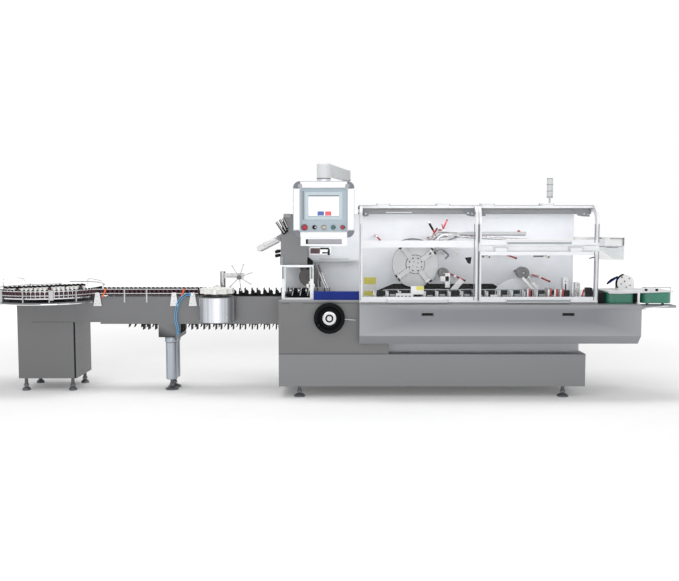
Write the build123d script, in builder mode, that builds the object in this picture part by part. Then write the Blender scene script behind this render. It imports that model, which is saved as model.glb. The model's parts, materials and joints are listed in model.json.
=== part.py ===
"""Automatic cartoner: turntable infeed, bucket conveyor, guarded carton section and outfeed belts.

Millimetres. X runs along the line from the infeed to the outfeed, Y runs from the operator's side
to the rear, Z is up. The origin is on the floor, under the middle of the whole machine.
"""
from build123d import *
from math import asin, cos, degrees, pi, radians, sin, tan
import os

os.makedirs("parts", exist_ok=True)

# Clearances and fits
seat_gap = 0.3
running_gap = 0.1
swing_gap = 6.0
panel_seam = 8.0
slot_clearance = 15.0

# Plinth and cabinets under the table
body_left = -450.0
plinth_setback = 97.0
body_front = -380.0
body_depth = 1150.0
foot_height = 112.0
plinth_height = 320.0
left_cabinet_length = 1075.0
left_cabinet_step = 25.0
right_cabinet_inset = 26.0
toe_recess_depth = 160.0
toe_recess_height = 128.0
table_height = 937.0
table_thickness = 10.0
foot_inset_x = 200.0
foot_inset_y = 70.0
foot_pad_radius = 55.0
foot_pad_height = 14.0
pad_sides = 16
wheel_sides = 24
pin_sides = 12
foot_stem_radius = 15.0

# Front apron with its two finger pulls
apron_left = 337.0
apron_depth = 140.0
apron_face_height = 299.0
apron_slope_drop = 87.0
apron_slope_run = 87.0
apron_outfeed_length = 391.0
pull_width = 116.0
pull_height = 30.0
pull_depth = 25.0
pull_drop = 76.0
pull_insets = (593.0, 369.0)

# Guard over the carton section
guard_length = 2311.0
guard_overhang = 40.0
guard_corner_rise = 793.0
guard_corner_radius = 150.0
left_bay_length = 1149.0
door_thickness = 25.0
stile_width = 25.0
door_seam = 5.0
door_edge_gap = 4.0
door_beam_gap = 10.0
hoop_width = 30.0
hoop_thickness = 30.0
bottom_rail_height = 52.0
left_rail_rise = 537.0
left_rail_height = 67.0
beam_rise = 503.0
beam_height = 50.0
upper_rail_height = 48.0
lower_top_rail_height = 36.0
pane_thickness = 5.0
top_rail_depth = 24.0
handle_depth = 22.0
handle_height = 34.0
left_handle_inset = 249.0
left_handle_length = 615.0
right_handle_inset = 258.0
roof_thickness = 36.0
roof_skin = 14.0
roof_front_rail = 34.0
gusset_height = 100.0
gusset_length = 110.0
gusset_thickness = 10.0
gusset_y = -150.0

# Door hinges
hinge_pin_radius = 6.0
hinge_knuckle_radius = 10.5
hinge_knuckle_length = 110.0
hinge_lug_thickness = 16.0
hinge_leaf = 5.0
hinge_lug_half = 8.0
hinge_side_gap = 1.0
beam_hinge_offset = 2.0
roof_hinge_rise = 13.0
roof_hinge_setback = 10.0
roof_hinge_reach = 44.0
roof_hinge_foot = 40.0
left_hinge_insets = (235.0, 322.0)
right_hinge_insets = (110.0, 460.0)
beam_hinge_inset = 215.0

# Back plate and rear housing
back_plate_setback = 640.0
back_plate_thickness = 20.0
back_plate_left = -420.0
back_plate_height = 867.0
back_plate_end = 62.0
arch_start = 192.0
arch_length = 1350.0
arch_side_height = 66.0
arch_height = 140.0
arch_left_run = 175.0
arch_right_run = 130.0
arch_depth = 100.0
arch_bend = 60.0
rear_housing_drop = 14.0

# Handwheel and clutch lever
wheel_x = 47.0
wheel_drop = 147.0
wheel_radius = 150.0
wheel_rim_depth = 34.0
wheel_rim_width = 34.0
wheel_rim_bevel = 8.0
wheel_dish = 14.0
wheel_hub_radius = 55.0
wheel_shaft_radius = 16.0
wheel_standoff = 44.0
crank_reach = 122.0
crank_angle = 211.0
crank_radius = 14.0
crank_length = 62.0
hub_cap = 6.0
hub_seat_gap = 0.02
wheel_boss_radius = 38.0
clutch_rod_standoff = 14.0
clutch_rod_drop = 22.0
clutch_rod_reach = 255.0
clutch_rod_radius = 7.0

# Operator panel on its swing arm
arm_post_x = 217.0
arm_post_setback = 730.0
arm_post_radius = 34.0
arm_rise = 346.0
arm_height = 106.0
arm_width = 62.0
arm_post_head_radius = 44.0
post_flange_margin = 30.0
post_flange_thickness = 14.0
arm_head_radius = 64.0
arm_head_bevel = 14.0
arm_head_gap = 42.0
arm_pin_radius = 25.0
arm_pin_length = 60.0
pin_end_gap = 2.0
panel_x = 1.0
panel_y = -765.0
panel_width = 556.0
panel_height = 510.0
panel_neck = 21.0
panel_neck_radius = 60.0
panel_depth = 100.0
panel_frame_width = 64.0
panel_foot_width = 52.0
panel_recess = 14.0
fascia_thickness = 6.0
screen_width = 276.0
screen_height = 184.0
screen_bezel = 34.0
screen_thickness = 8.0
screen_drop = 222.0
button_count = 5
button_radius = 15.0
button_length = 20.0
button_spacing = 86.0
button_drop = 418.0
mushroom_radius = 22.0
mushroom_thickness = 10.0
tray_width = 424.0
tray_height = 78.0
tray_slot_width = 330.0
tray_slot_height = 45.0
tray_slot_depth = 80.0

# Infeed conveyor
conveyor_front = -40.0
conveyor_width = 320.0
conveyor_side = 12.0
conveyor_depth = 280.0
conveyor_step = 18.0
conveyor_step_length = 256.0
conveyor_length = 1832.0
belt_rise = 38.0
belt_stand = 7.0
slat_belt_y = 55.0
slat_belt_width = 100.0
slat_belt_end = 450.0
slat_thickness = 6.0
slat_wheel_radius = 70.0
wheel_shaft_radius_small = 15.0
wheel_inset = 5.0
bucket_chain_y = 175.0
bucket_chain_width = 110.0
bucket_chain_start = 1590.0
bucket_chain_reach = 690.0
bucket_wheel_radius = 142.0
bucket_belt_thickness = 8.0
bucket_height = 66.0
bucket_plate = 6.0
bucket_length = 60.0
bucket_base = 14.0
bucket_pitch = 125.0
cross_bar_steps = (185.0, 700.0, 1180.0)
cross_bar_z_drop = 110.0
cross_bar_height = 36.0
cross_bar_half = 20.0

# Turntable on its cabinet
cabinet_width = 588.0
cabinet_depth = 524.0
cabinet_front = -40.0
cabinet_bottom = 130.0
cabinet_foot_inset = 55.0
cabinet_pad_radius = 42.0
cabinet_pan_gap = 12.0
turntable_offset = 324.0
turntable_y = 180.0
turntable_radius = 545.0
turntable_thickness = 12.0
turntable_spindle_radius = 40.0
turntable_bearing_radius = 150.0
pan_margin = 20.0
pan_thickness = 8.0
pan_drop = 53.0
guide_strip_height = 9.0
guide_strip_depth = 6.0
guide_margin = 12.0
guide_rises = (58.0, 101.0)
guide_start = 95.0
guide_post_radius = 7.0
guide_post_rise = 10.0
guide_post_foot = 60.0
guide_post_angles = (98.0, 130.0, 165.0, 200.0, 235.0, 262.0, 288.0, 315.0)

# Rails and brackets along the conveyor
rail_standoff = 12.0
rail_lane_gap = 3.0
rail_end_gap = 30.0
plate_steps = (-20.0, 754.0, 944.0)
plate_base = 82.0
plate_tip = 40.0
plate_height = 136.0
plate_drop = 95.0
plate_thickness = 8.0
plate_spacer_rise = 12.0

# Support leg under the conveyor
leg_offset = 1132.0
leg_box_width = 224.0
leg_box_height = 136.0
leg_floor = 38.0
leg_column_radius = 55.0
leg_collar_radius = 62.0
leg_collar_height = 60.0
leg_pad_radius = 67.0
leg_stem_radius = 22.0
leg_foot_height = 110.0
leg_ys = (55.0, 200.0)

# Air hoses: steps on X and Z from the third bracket and the conveyor's top
hose_radius = 4.5
hose_standoff = 10.0
hose_block_half = 14.0
hose_block_height = 34.0
hose_gland_length = 42.0
hose_bend_share = 0.45
air_hose_steps = (
    ((-14, 34), (-64, 34), (-134, -12), (-168, -98), (-183, -178), (-182, -253), (-161, -328), (-161, -384)),
    ((-14, 17), (-58, 17), (-120, -28), (-151, -106), (-166, -180), (-165, -250), (-145, -322), (-145, -384)),
)

# Star wheel over its half drum
star_offset = 635.0
star_y = -96.0
star_radius = 172.0
star_pockets = 10
star_pocket_radius = 42.0
star_pocket_shift = 14.0
star_rise = 33.0
star_thickness = 44.0
drum_radius = 180.0
drum_height = 248.0
drum_drop = 2.0
star_hub_radius = 45.0
star_pin_radius = 16.0

# Paddle wheel
paddle_offset = 430.0
paddle_y = 62.0
paddle_rise = 183.0
paddle_arms = 7
paddle_reach = 134.0
paddle_arm_radius = 4.5
paddle_tip_radius = 10.0
paddle_hub_radius = 26.0
paddle_hub_length = 24.0
paddle_pin_radius = 9.0
paddle_start_angle = 20.0
paddle_post_reach = 204.0
paddle_post_width = 60.0
paddle_post_setback = 40.0
paddle_post_foot = 120.0
paddle_post_rise = 20.0
paddle_stand_gap = 16.0
paddle_beam_height = 52.0
paddle_beam_depth = 44.0

# Small infeed guard, blue panel and leaflet unit
small_guard_inset = 30.0
small_guard_length = 312.0
small_guard_front = -340.0
small_guard_rise = 364.0
small_post_width = 32.0
small_post_depth = 20.0
small_top_rail = 22.0
small_bottom_rail = 18.0
blue_panel_height = 84.0
blue_panel_thickness = 12.0
blue_panel_setback = 10.0
leaflet_inset = 19.0
leaflet_width = 257.0
leaflet_front = -270.0
leaflet_rise = 361.0
leaflet_top_gap = 7.0
leaflet_bulge = 30.0
leaflet_bulge_rise = 280.0
leaflet_chute_reach = 240.0
leaflet_chute_drop = 127.0
leaflet_chute_rise = 270.0
leaflet_chute_thickness = 30.0
leaflet_chute_depth = 60.0
leaflet_chute_y = -170.0
peg_radius = 10.0
peg_length = 52.0
peg_rises = (96.0, 140.0)

# Leaflet feeder on the back plate
bin_x = -164.0
bin_rise = 134.0
bin_radius = 98.0
bin_front = -60.0
bin_thickness = 130.0
bin_shaft_radius = 16.0
feeder_shelf_rise = 378.0
feeder_shelf_thickness = 12.0
feeder_shelf_depth = 90.0
clamp_x = -46.0
clamp_width = 105.0
clamp_depth = 40.0
clamp_height = 71.0
clamp_rise = 458.0

# Carton rotor, magazine, rollers and chain
rotor_offset = 568.0
rotor_y = -95.0
rotor_rise = 359.0
rotor_radius = 230.0
rotor_thickness = 26.0
rotor_hub_radius = 92.0
rotor_hub_height = 14.0
rotor_shaft_radius = 40.0
rotor_housing_radius = 75.0
rotor_housing_gap = 40.0
rotor_bolts = 8
rotor_bolt_circle = 68.0
rotor_bolt_radius = 8.0
suction_arms = 4
suction_arm_angle = 37.0
suction_arm_radius = 196.0
suction_arm_length = 120.0
suction_arm_width = 46.0
suction_arm_depth = 34.0
suction_cup_radius = 17.0
suction_cup_length = 26.0
magazine_offset = 862.0
magazine_length = 821.0
magazine_rise = 651.0
magazine_drop = 49.0
magazine_width = 180.0
magazine_rail = 16.0
magazine_rail_setback = 60.0
magazine_bend = 90.0
magazine_post_shares = (0.16, 0.84)
roller_offsets = (849.0, 1642.0)
roller_rises = (273.0, 275.0)
roller_radii = (52.0, 60.0)
roller_length = 120.0
roller_shaft_radius = 14.0
lever_offsets = (180.0, 731.0, 846.0, 972.0, 1483.0, 1826.0)
lever_rises = (643.0, 620.0, 700.0, 240.0, 457.0, 230.0)
lever_angles = (-50.0, 60.0, 70.0, -25.0, -20.0, -24.0)
lever_length = 110.0
lever_grip_radius = 9.0
lever_hub_radius = 12.0
lever_front = -60.0
chain_y = -250.0
chain_width = 120.0
chain_start = 82.0
chain_end = 89.0
chain_height = 50.0
lug_pitch = 122.0
lug_height = 62.0
lug_thickness = 8.0
lug_width = 30.0
guide_setback = 10.0
guide_thickness = 12.0
sieve_offset = 359.0
sieve_width = 159.0
sieve_rise = 29.0
sieve_holes = 4
sieve_hole_radius = 11.0
tucker_offsets = (1636.0, 1836.0, 1885.0, 1940.0, 2146.0)
tucker_width = 30.0
tucker_height = 79.0
tucker_lean = 10.0
guide_post_offsets = (2032.0, 2154.0)
guide_post_heights = (226.0, 182.0)
guide_post_width = 50.0

# Outfeed belts, standing on edge
outfeed_length = 781.0
outfeed_front = -380.0
outfeed_depth = 640.0
outfeed_box_height = 268.0
outfeed_overhang = 343.0
outfeed_drop = 29.0
outfeed_base = 24.0
outfeed_base_half = 82.0
outfeed_end_gap = 38.0
edge_belt_stand = 20.0
edge_belt_height = 105.0
edge_belt_thickness = 6.0
edge_drum_radius = 66.0
edge_shaft_radius = 14.0
front_belt_y = -284.0
left_belt_start = 108.0
left_belt_length = 271.0
belt_span_gap = 80.0
rear_belt_y = 100.0
rear_belt_length = 320.0
cover_thickness = 12.0
press_offset = 286.0
press_width = 170.0
press_height = 70.0
press_thickness = 12.0
press_gap = 60.0

# Upper chute at the end of the magazine
chute_start = 111.0
chute_length = 201.0
chute_front = -200.0
chute_rise = 532.0
chute_height = 96.0
chute_sheet = 6.0
chute_skirt = 130.0
chute_skirt_left = 57.0
chute_arm_depth = 60.0

# Beacon
beacon_inset = 399.0
beacon_y = -60.0
beacon_radius = 30.0
beacon_height = 196.0
beacon_stem = 75.0
beacon_base = 40.0
beacon_stem_radius = 9.0

# Positions worked out from the sizes above
plinth_top = foot_height + plinth_height
left_cabinet_right = body_left + left_cabinet_length
left_cabinet_top = table_height + left_cabinet_step
table_bottom = table_height - table_thickness
body_back = body_front + body_depth
apron_front = body_front - apron_depth
guard_left = apron_left + 1
guard_right = guard_left + guard_length
guard_front = body_front - guard_overhang
body_right = guard_right - plinth_setback
apron_right = guard_right + apron_outfeed_length
pull_xs = (apron_left + pull_insets[0], guard_right - pull_insets[1])
pull_base_z = table_bottom - pull_drop - pull_height

middle_hoop_x = guard_left + left_bay_length
guard_corner_z = table_height + guard_corner_rise
door_back = guard_front + door_thickness
corner_y = guard_front + guard_corner_radius
hoop_radius = guard_corner_radius - door_thickness - swing_gap
hoop_front = corner_y - hoop_radius
hoop_top = guard_corner_z + hoop_radius
door_bottom_z = table_height + swing_gap
door_top = guard_corner_z + guard_corner_radius
roof_hinge_y = corner_y + roof_hinge_reach
roof_hinge_z = door_top + roof_hinge_rise
door_end_y = roof_hinge_y - roof_hinge_setback
roof_front = roof_hinge_y + roof_hinge_setback
roof_bottom = hoop_top
roof_top = roof_bottom + roof_thickness
left_door_xs = (guard_left + door_edge_gap, middle_hoop_x - door_seam / 2)
right_door_xs = (middle_hoop_x + door_seam / 2, guard_right - door_edge_gap)
left_rail_bottom_z = table_height + left_rail_rise
left_rail = (left_rail_bottom_z, left_rail_bottom_z + left_rail_height)
beam_bottom_z = table_height + beam_rise
upper_door_bottom_z = beam_bottom_z + beam_height + door_beam_gap
lower_door_top_z = beam_bottom_z - swing_gap
beam_hinge_y = guard_front + door_thickness / 2
beam_hinge_z = beam_bottom_z + beam_height / 2 + beam_hinge_offset
roof_hinge_xs_left = (left_door_xs[0] + left_hinge_insets[0], left_door_xs[1] - left_hinge_insets[1])
roof_hinge_xs_right = (
    right_door_xs[0] + right_hinge_insets[0], right_door_xs[1] - right_hinge_insets[1]
)
beam_hinge_xs = (right_door_xs[0] + beam_hinge_inset, right_door_xs[1] - beam_hinge_inset)
handle_left_x = (
    left_door_xs[0] + left_handle_inset, left_door_xs[0] + left_handle_inset + left_handle_length
)
handle_right_x = (right_door_xs[0] + right_handle_inset, right_door_xs[1] - right_handle_inset)

back_plate_front = body_front + back_plate_setback
back_plate_back = back_plate_front + back_plate_thickness
back_plate_right = guard_right - back_plate_end
back_plate_top = table_height + back_plate_height
arch_left = guard_left + arch_start
arch_right = arch_left + arch_length
rear_housing_top = back_plate_top - rear_housing_drop

wheel_z = table_height - wheel_drop
arm_post_y = body_front + arm_post_setback
arm_bottom_z = back_plate_top + arm_rise
arm_top_z = arm_bottom_z + arm_height
arm_head_bottom_z = arm_bottom_z - arm_head_gap
panel_top_z = arm_head_bottom_z - panel_neck
panel_bottom_z = panel_top_z - panel_height
panel_front = panel_y - panel_depth / 2
panel_back = panel_y + panel_depth / 2
screen_z = panel_top_z - screen_drop
button_z = panel_top_z - button_drop

belt_top = table_height + belt_rise
conveyor_top = belt_top - belt_stand
conveyor_bottom = conveyor_top - conveyor_depth
conveyor_back = conveyor_front + conveyor_width
conveyor_left = body_left - conveyor_length
cabinet_right = conveyor_left - conveyor_step_length
cabinet_left = cabinet_right - cabinet_width
cabinet_top = belt_top - pan_drop - cabinet_pan_gap
turntable_x = cabinet_right - turntable_offset
pan_bottom_z = belt_top - pan_drop
pan_radius = turntable_radius + pan_margin
guide_ring_radius = turntable_radius + guide_margin
guide_zs = [table_height + rise for rise in guide_rises]
leg_x = body_left - leg_offset
star_x = body_left - star_offset
drum_top_z = belt_top - drum_drop
drum_bottom_z = drum_top_z - drum_height
cross_bar_z = conveyor_top - cross_bar_z_drop
star_bottom_z = drum_top_z + star_rise
paddle_x = body_left - paddle_offset
paddle_z = belt_top + paddle_rise
paddle_post_x = paddle_x - paddle_post_reach

small_guard_left = body_left + small_guard_inset
small_guard_right = small_guard_left + small_guard_length
small_guard_top = table_height + small_guard_rise
leaflet_left = body_left + leaflet_inset
leaflet_right = leaflet_left + leaflet_width
leaflet_bottom = table_height + leaflet_rise
leaflet_top = back_plate_top - leaflet_top_gap

rotor_x = guard_left + rotor_offset
rotor_z = table_height + rotor_rise
chain_left = guard_left + chain_start
chain_right = guard_right - chain_end
chain_top = table_height + chain_height

outfeed_right = guard_right + outfeed_length
outfeed_left = body_right - right_cabinet_inset
outfeed_box_right = outfeed_right - outfeed_overhang
outfeed_base_z = table_height - outfeed_drop
edge_belt_bottom = outfeed_base_z + edge_belt_stand
edge_belt_top = edge_belt_bottom + edge_belt_height
cover_z = edge_belt_top + seat_gap * 10
chute_left = guard_right + chute_start
chute_right = chute_left + chute_length
chute_bottom = table_height + chute_rise
beacon_x = guard_right - beacon_inset


def block(xs, ys, zs, mode=Mode.ADD):
    """A rectangular block between pairs of limits on X, Y and Z."""
    centre = [(low + high) / 2 for low, high in (xs, ys, zs)]
    with Locations(tuple(centre)):
        Box(abs(xs[1] - xs[0]), abs(ys[1] - ys[0]), abs(zs[1] - zs[0]), mode=mode)


def rod(start, end, radius, mode=Mode.ADD, sides=0):
    """A bar between two points, round or with a number of flat sides."""
    first = Vector(*start)
    along = Vector(*end) - first
    with BuildSketch(Plane(origin=first, z_dir=along)) as section:
        if sides:
            RegularPolygon(radius, sides)
        else:
            Circle(radius)
    extrude(section.sketch, amount=along.length, mode=mode)


def prism(plane, points, amount, mode=Mode.ADD):
    """A polygon on a plane, extruded along the plane's normal."""
    with BuildSketch(plane) as section:
        with BuildLine():
            Polyline(*points, close=True)
        make_face()
    extrude(section.sketch, amount=amount, mode=mode)


def ring_part(plane, centre, inner, outer, start, sweep_angle, amount):
    """A piece of a flat ring on a plane, extruded along the plane's normal."""
    with BuildSketch(plane) as section:
        with BuildLine():
            low = CenterArc(centre, inner, start, sweep_angle)
            high = CenterArc(centre, outer, start, sweep_angle)
            Line(low @ 0, high @ 0)
            Line(low @ 1, high @ 1)
        make_face()
    extrude(section.sketch, amount=amount)


def finish(builder, name):
    """Label a sub-part and write it."""
    builder.part.label = name
    export_step(builder.part, f"parts/{name}.step")


def levelling_foot(x, y, height, pad_radius, stem_radius):
    """A hexagonal stem on a round pad, standing on the floor."""
    rod((x, y, 0), (x, y, foot_pad_height), pad_radius, sides=pad_sides)
    rod((x, y, foot_pad_height), (x, y, height), stem_radius, sides=6)


# Plinth
with BuildPart() as base_plinth:
    block((body_left, body_right), (body_front, body_back), (foot_height, plinth_top))
finish(base_plinth, "base_plinth")

# Left cabinet, with a slot for the bucket chain that runs into it
chain_slot = bucket_chain_width / 2 + slot_clearance
chain_slot_bottom = belt_top - 2 * (bucket_wheel_radius + bucket_belt_thickness) - bucket_height
with BuildPart() as left_cabinet:
    block((body_left, left_cabinet_right), (body_front, body_back), (plinth_top, left_cabinet_top))
    block(
        (apron_left, left_cabinet_right),
        (body_front, body_back),
        (table_bottom, left_cabinet_top),
        mode=Mode.SUBTRACT,
    )
    block(
        (body_left, body_left + bucket_chain_reach + slot_clearance),
        (bucket_chain_y - chain_slot, bucket_chain_y + chain_slot),
        (chain_slot_bottom - slot_clearance, left_cabinet_top),
        mode=Mode.SUBTRACT,
    )
finish(left_cabinet, "left_cabinet")

# Right cabinet, set back above the plinth
right_left = left_cabinet_right + panel_seam
right_right = body_right - right_cabinet_inset
with BuildPart() as right_cabinet:
    block((right_left, right_right), (body_front, body_back), (plinth_top, table_bottom))
    block(
        (right_left, right_right),
        (body_front, body_front + toe_recess_depth),
        (plinth_top, plinth_top + toe_recess_height),
        mode=Mode.SUBTRACT,
    )
finish(right_cabinet, "right_cabinet")

# Front apron with two finger pulls
apron_lip = table_bottom - apron_face_height
apron_bottom = apron_lip - apron_slope_drop
with BuildPart() as front_apron:
    prism(
        Plane.YZ.offset(apron_left),
        [
            (apron_front, table_bottom),
            (apron_front, apron_lip),
            (apron_front + apron_slope_run, apron_bottom),
            (body_front, apron_bottom),
            (body_front, table_bottom),
        ],
        apron_right - apron_left,
    )
    for pull_x in pull_xs:
        block(
            (pull_x, pull_x + pull_width),
            (apron_front, apron_front + pull_depth),
            (pull_base_z, pull_base_z + pull_height),
            mode=Mode.SUBTRACT,
        )
finish(front_apron, "front_apron")

# Table plate under the guard
with BuildPart() as table_plate:
    block((apron_left, guard_right), (guard_front, body_back), (table_bottom, table_height))
finish(table_plate, "table_plate")

# Back plate with the low arched opening
with BuildPart() as back_plate:
    block(
        (back_plate_left, back_plate_right),
        (back_plate_front, back_plate_back),
        (table_height, back_plate_top),
    )
    block(
        (back_plate_left, apron_left),
        (back_plate_front, back_plate_back),
        (table_height, left_cabinet_top),
        mode=Mode.SUBTRACT,
    )
    with BuildSketch(Plane.XZ.offset(-back_plate_back)):
        with BuildLine():
            FilletPolyline(
                (arch_left, table_height),
                (arch_left, table_height + arch_side_height),
                (arch_left + arch_left_run, table_height + arch_height),
                (arch_right - arch_right_run, table_height + arch_height),
                (arch_right, table_height + arch_side_height),
                (arch_right, table_height),
                radius=arch_bend,
            )
            Line((arch_right, table_height), (arch_left, table_height))
        make_face()
    extrude(amount=back_plate_thickness, mode=Mode.SUBTRACT)
finish(back_plate, "back_plate")

# Rear housing behind the back plate, hollow behind the arch
with BuildPart() as rear_housing:
    block(
        (back_plate_left, back_plate_right),
        (back_plate_back, body_back),
        (table_height, rear_housing_top),
    )
    block(
        (back_plate_left, apron_left),
        (back_plate_back, body_back),
        (table_height, left_cabinet_top),
        mode=Mode.SUBTRACT,
    )
    block(
        (arch_left, arch_right),
        (back_plate_back, back_plate_back + arch_depth),
        (table_height, table_height + arch_height),
        mode=Mode.SUBTRACT,
    )
finish(rear_housing, "rear_housing")

# Levelling feet of the machine, of the turntable cabinet and of the support leg
with BuildPart() as levelling_feet:
    for foot_x in (body_left + foot_inset_x, body_right - foot_inset_x):
        for foot_y in (body_front + foot_inset_y, body_back - foot_inset_y):
            levelling_foot(foot_x, foot_y, foot_height, foot_pad_radius, foot_stem_radius)
    for foot_x in (cabinet_left + cabinet_foot_inset, cabinet_right - cabinet_foot_inset):
        for foot_y in (
            cabinet_front + cabinet_foot_inset, cabinet_front + cabinet_depth - cabinet_foot_inset
        ):
            levelling_foot(foot_x, foot_y, cabinet_bottom, cabinet_pad_radius, foot_stem_radius)
    for leg_y in leg_ys:
        levelling_foot(leg_x, leg_y, leg_foot_height, leg_pad_radius, leg_stem_radius)
finish(levelling_feet, "levelling_feet")


def guard_band(x_left, width, outer, thickness, end_y, bottom_z):
    """A strip that rises from the table, bends over the guard's corner and runs back."""
    inner = outer - thickness
    with BuildSketch(Plane.YZ.offset(x_left)) as section:
        with BuildLine():
            Polyline(
                (end_y, guard_corner_z + inner),
                (end_y, guard_corner_z + outer),
                (corner_y, guard_corner_z + outer),
            )
            JernArc((corner_y, guard_corner_z + outer), (-1, 0), outer, 90)
            Polyline(
                (corner_y - outer, guard_corner_z),
                (corner_y - outer, bottom_z),
                (corner_y - inner, bottom_z),
                (corner_y - inner, guard_corner_z),
            )
            JernArc((corner_y - inner, guard_corner_z), (0, 1), inner, -90)
            Line((corner_y, guard_corner_z + inner), (end_y, guard_corner_z + inner))
        make_face()
    extrude(section.sketch, amount=width)


# Fixed hoops of the guard, with the beam between the two right-hand doors
hoop_lefts = (guard_left, middle_hoop_x - hoop_width / 2, guard_right - hoop_width)
with BuildPart() as guard_frame:
    for hoop_left in hoop_lefts:
        guard_band(
            hoop_left, hoop_width, hoop_radius, hoop_thickness, back_plate_front, table_height
        )
    block(
        (middle_hoop_x, guard_right - hoop_width / 2),
        (hoop_front, hoop_front + hoop_thickness),
        (beam_bottom_z, beam_bottom_z + beam_height),
    )
finish(guard_frame, "guard_frame")

# Roof of the guard, with gussets under it
roof_skin_z = roof_top - roof_skin
gusset_xs = (
    guard_left + hoop_width,
    middle_hoop_x - hoop_width / 2 - gusset_length,
    middle_hoop_x + hoop_width / 2,
    guard_right - hoop_width - gusset_length,
)
with BuildPart() as guard_roof:
    block((guard_left, guard_right), (roof_front, back_plate_back), (roof_skin_z, roof_top))
    block((guard_left, guard_right), (roof_front, roof_front + roof_front_rail), (roof_bottom, roof_skin_z))
    block((guard_left, guard_right), (back_plate_front, back_plate_back), (back_plate_top, roof_skin_z))
    for side, gusset_x in enumerate(gusset_xs):
        wall_x = gusset_x + gusset_length * (side % 2)
        prism(
            Plane.XZ.offset(-gusset_y),
            [
                (gusset_x, roof_skin_z),
                (gusset_x + gusset_length, roof_skin_z),
                (wall_x, roof_skin_z - gusset_height),
            ],
            gusset_thickness,
        )
finish(guard_roof, "guard_roof")


def hinge_lugs(xs, y, z, carrier_low, carrier_high):
    """Pins on two lugs each; the lugs reach the carrier between two (y, z) corners."""
    half = hinge_knuckle_length / 2
    for x in xs:
        for side in (-1, 1):
            lug_x = x + side * (half + hinge_side_gap + hinge_lug_thickness / 2)
            lug = (lug_x - hinge_lug_thickness / 2, lug_x + hinge_lug_thickness / 2)
            block(lug, (y - hinge_lug_half, carrier_high[0]), (z - hinge_lug_half, z + hinge_lug_half))
            block(lug, (carrier_low[0], carrier_high[0]), (carrier_low[1], carrier_high[1]))
        pin_half = half + hinge_side_gap + hinge_lug_thickness / 2
        rod((x - pin_half, y, z), (x + pin_half, y, z), hinge_pin_radius, sides=pin_sides)


# Hinges of the three doors: lugs and pins fixed to the roof and to the beam
with BuildPart() as door_hinges:
    hinge_lugs(
        roof_hinge_xs_left + roof_hinge_xs_right,
        roof_hinge_y,
        roof_hinge_z,
        (roof_front, roof_top),
        (roof_front + roof_hinge_foot, roof_hinge_z + hinge_lug_half),
    )
    hinge_lugs(
        beam_hinge_xs,
        beam_hinge_y,
        beam_hinge_z,
        (hoop_front - hinge_leaf, beam_hinge_z - hinge_lug_half),
        (hoop_front, beam_hinge_z + hinge_lug_half),
    )
finish(door_hinges, "door_hinges")


hinge_bore_radius = (hinge_pin_radius + running_gap) / cos(pi / pin_sides)


def knuckle(x, y, z, leaf):
    """An eight-sided tube that turns on the hinge pin, with its leaf to the door."""
    half = hinge_knuckle_length / 2
    rod((x - half, y, z), (x + half, y, z), hinge_knuckle_radius, sides=8)
    block((x - half, x + half), leaf[0], leaf[1])
    rod((x - half, y, z), (x + half, y, z), hinge_bore_radius, mode=Mode.SUBTRACT, sides=pin_sides)


def door_handle(xs, bottom_z):
    """A grip strip with tapered ends along the foot of a door."""
    prism(
        Plane.XY.offset(bottom_z),
        [
            (xs[0], guard_front),
            (xs[0] + handle_depth, guard_front - handle_depth),
            (xs[1] - handle_depth, guard_front - handle_depth),
            (xs[1], guard_front),
        ],
        handle_height,
    )


def curved_door(x_left, x_right, bottom_z, rail_height, hinge_xs, grip):
    """Frame of a door that bends over the guard's corner and hangs from the roof hinges."""
    for stile_left in (x_left, x_right - stile_width):
        guard_band(
            stile_left, stile_width, guard_corner_radius, door_thickness, door_end_y, bottom_z
        )
    block((x_left, x_right), (guard_front, door_back), (bottom_z, bottom_z + rail_height))
    block(
        (x_left, x_right),
        (door_end_y - top_rail_depth, door_end_y),
        (door_top - door_thickness, door_top),
    )
    for hinge_x in hinge_xs:
        knuckle(
            hinge_x,
            roof_hinge_y,
            roof_hinge_z,
            ((door_end_y - top_rail_depth, roof_hinge_y), (door_top, door_top + hinge_leaf)),
        )
    door_handle(grip, bottom_z)


def curved_pane(x_left, x_right, bottom_z):
    """A clear pane that follows the guard's corner, set back in the door's frame."""
    guard_band(
        x_left + stile_width,
        x_right - x_left - 2 * stile_width,
        guard_corner_radius - pane_thickness,
        pane_thickness,
        door_end_y - top_rail_depth,
        bottom_z,
    )


# Left door
with BuildPart() as left_door_frame:
    curved_door(
        *left_door_xs, door_bottom_z, bottom_rail_height, roof_hinge_xs_left, handle_left_x
    )
    block(left_door_xs, (guard_front, door_back), left_rail)
finish(left_door_frame, "left_door_frame")

with BuildPart() as left_door_pane:
    curved_pane(*left_door_xs, door_bottom_z + bottom_rail_height)
    block(left_door_xs, (guard_front, door_back), left_rail, mode=Mode.SUBTRACT)
finish(left_door_pane, "left_door_pane")

# Upper right door
with BuildPart() as upper_door_frame:
    curved_door(
        *right_door_xs, upper_door_bottom_z, upper_rail_height, roof_hinge_xs_right, handle_right_x
    )
finish(upper_door_frame, "upper_door_frame")

with BuildPart() as upper_door_pane:
    curved_pane(*right_door_xs, upper_door_bottom_z + upper_rail_height)
finish(upper_door_pane, "upper_door_pane")

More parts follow.
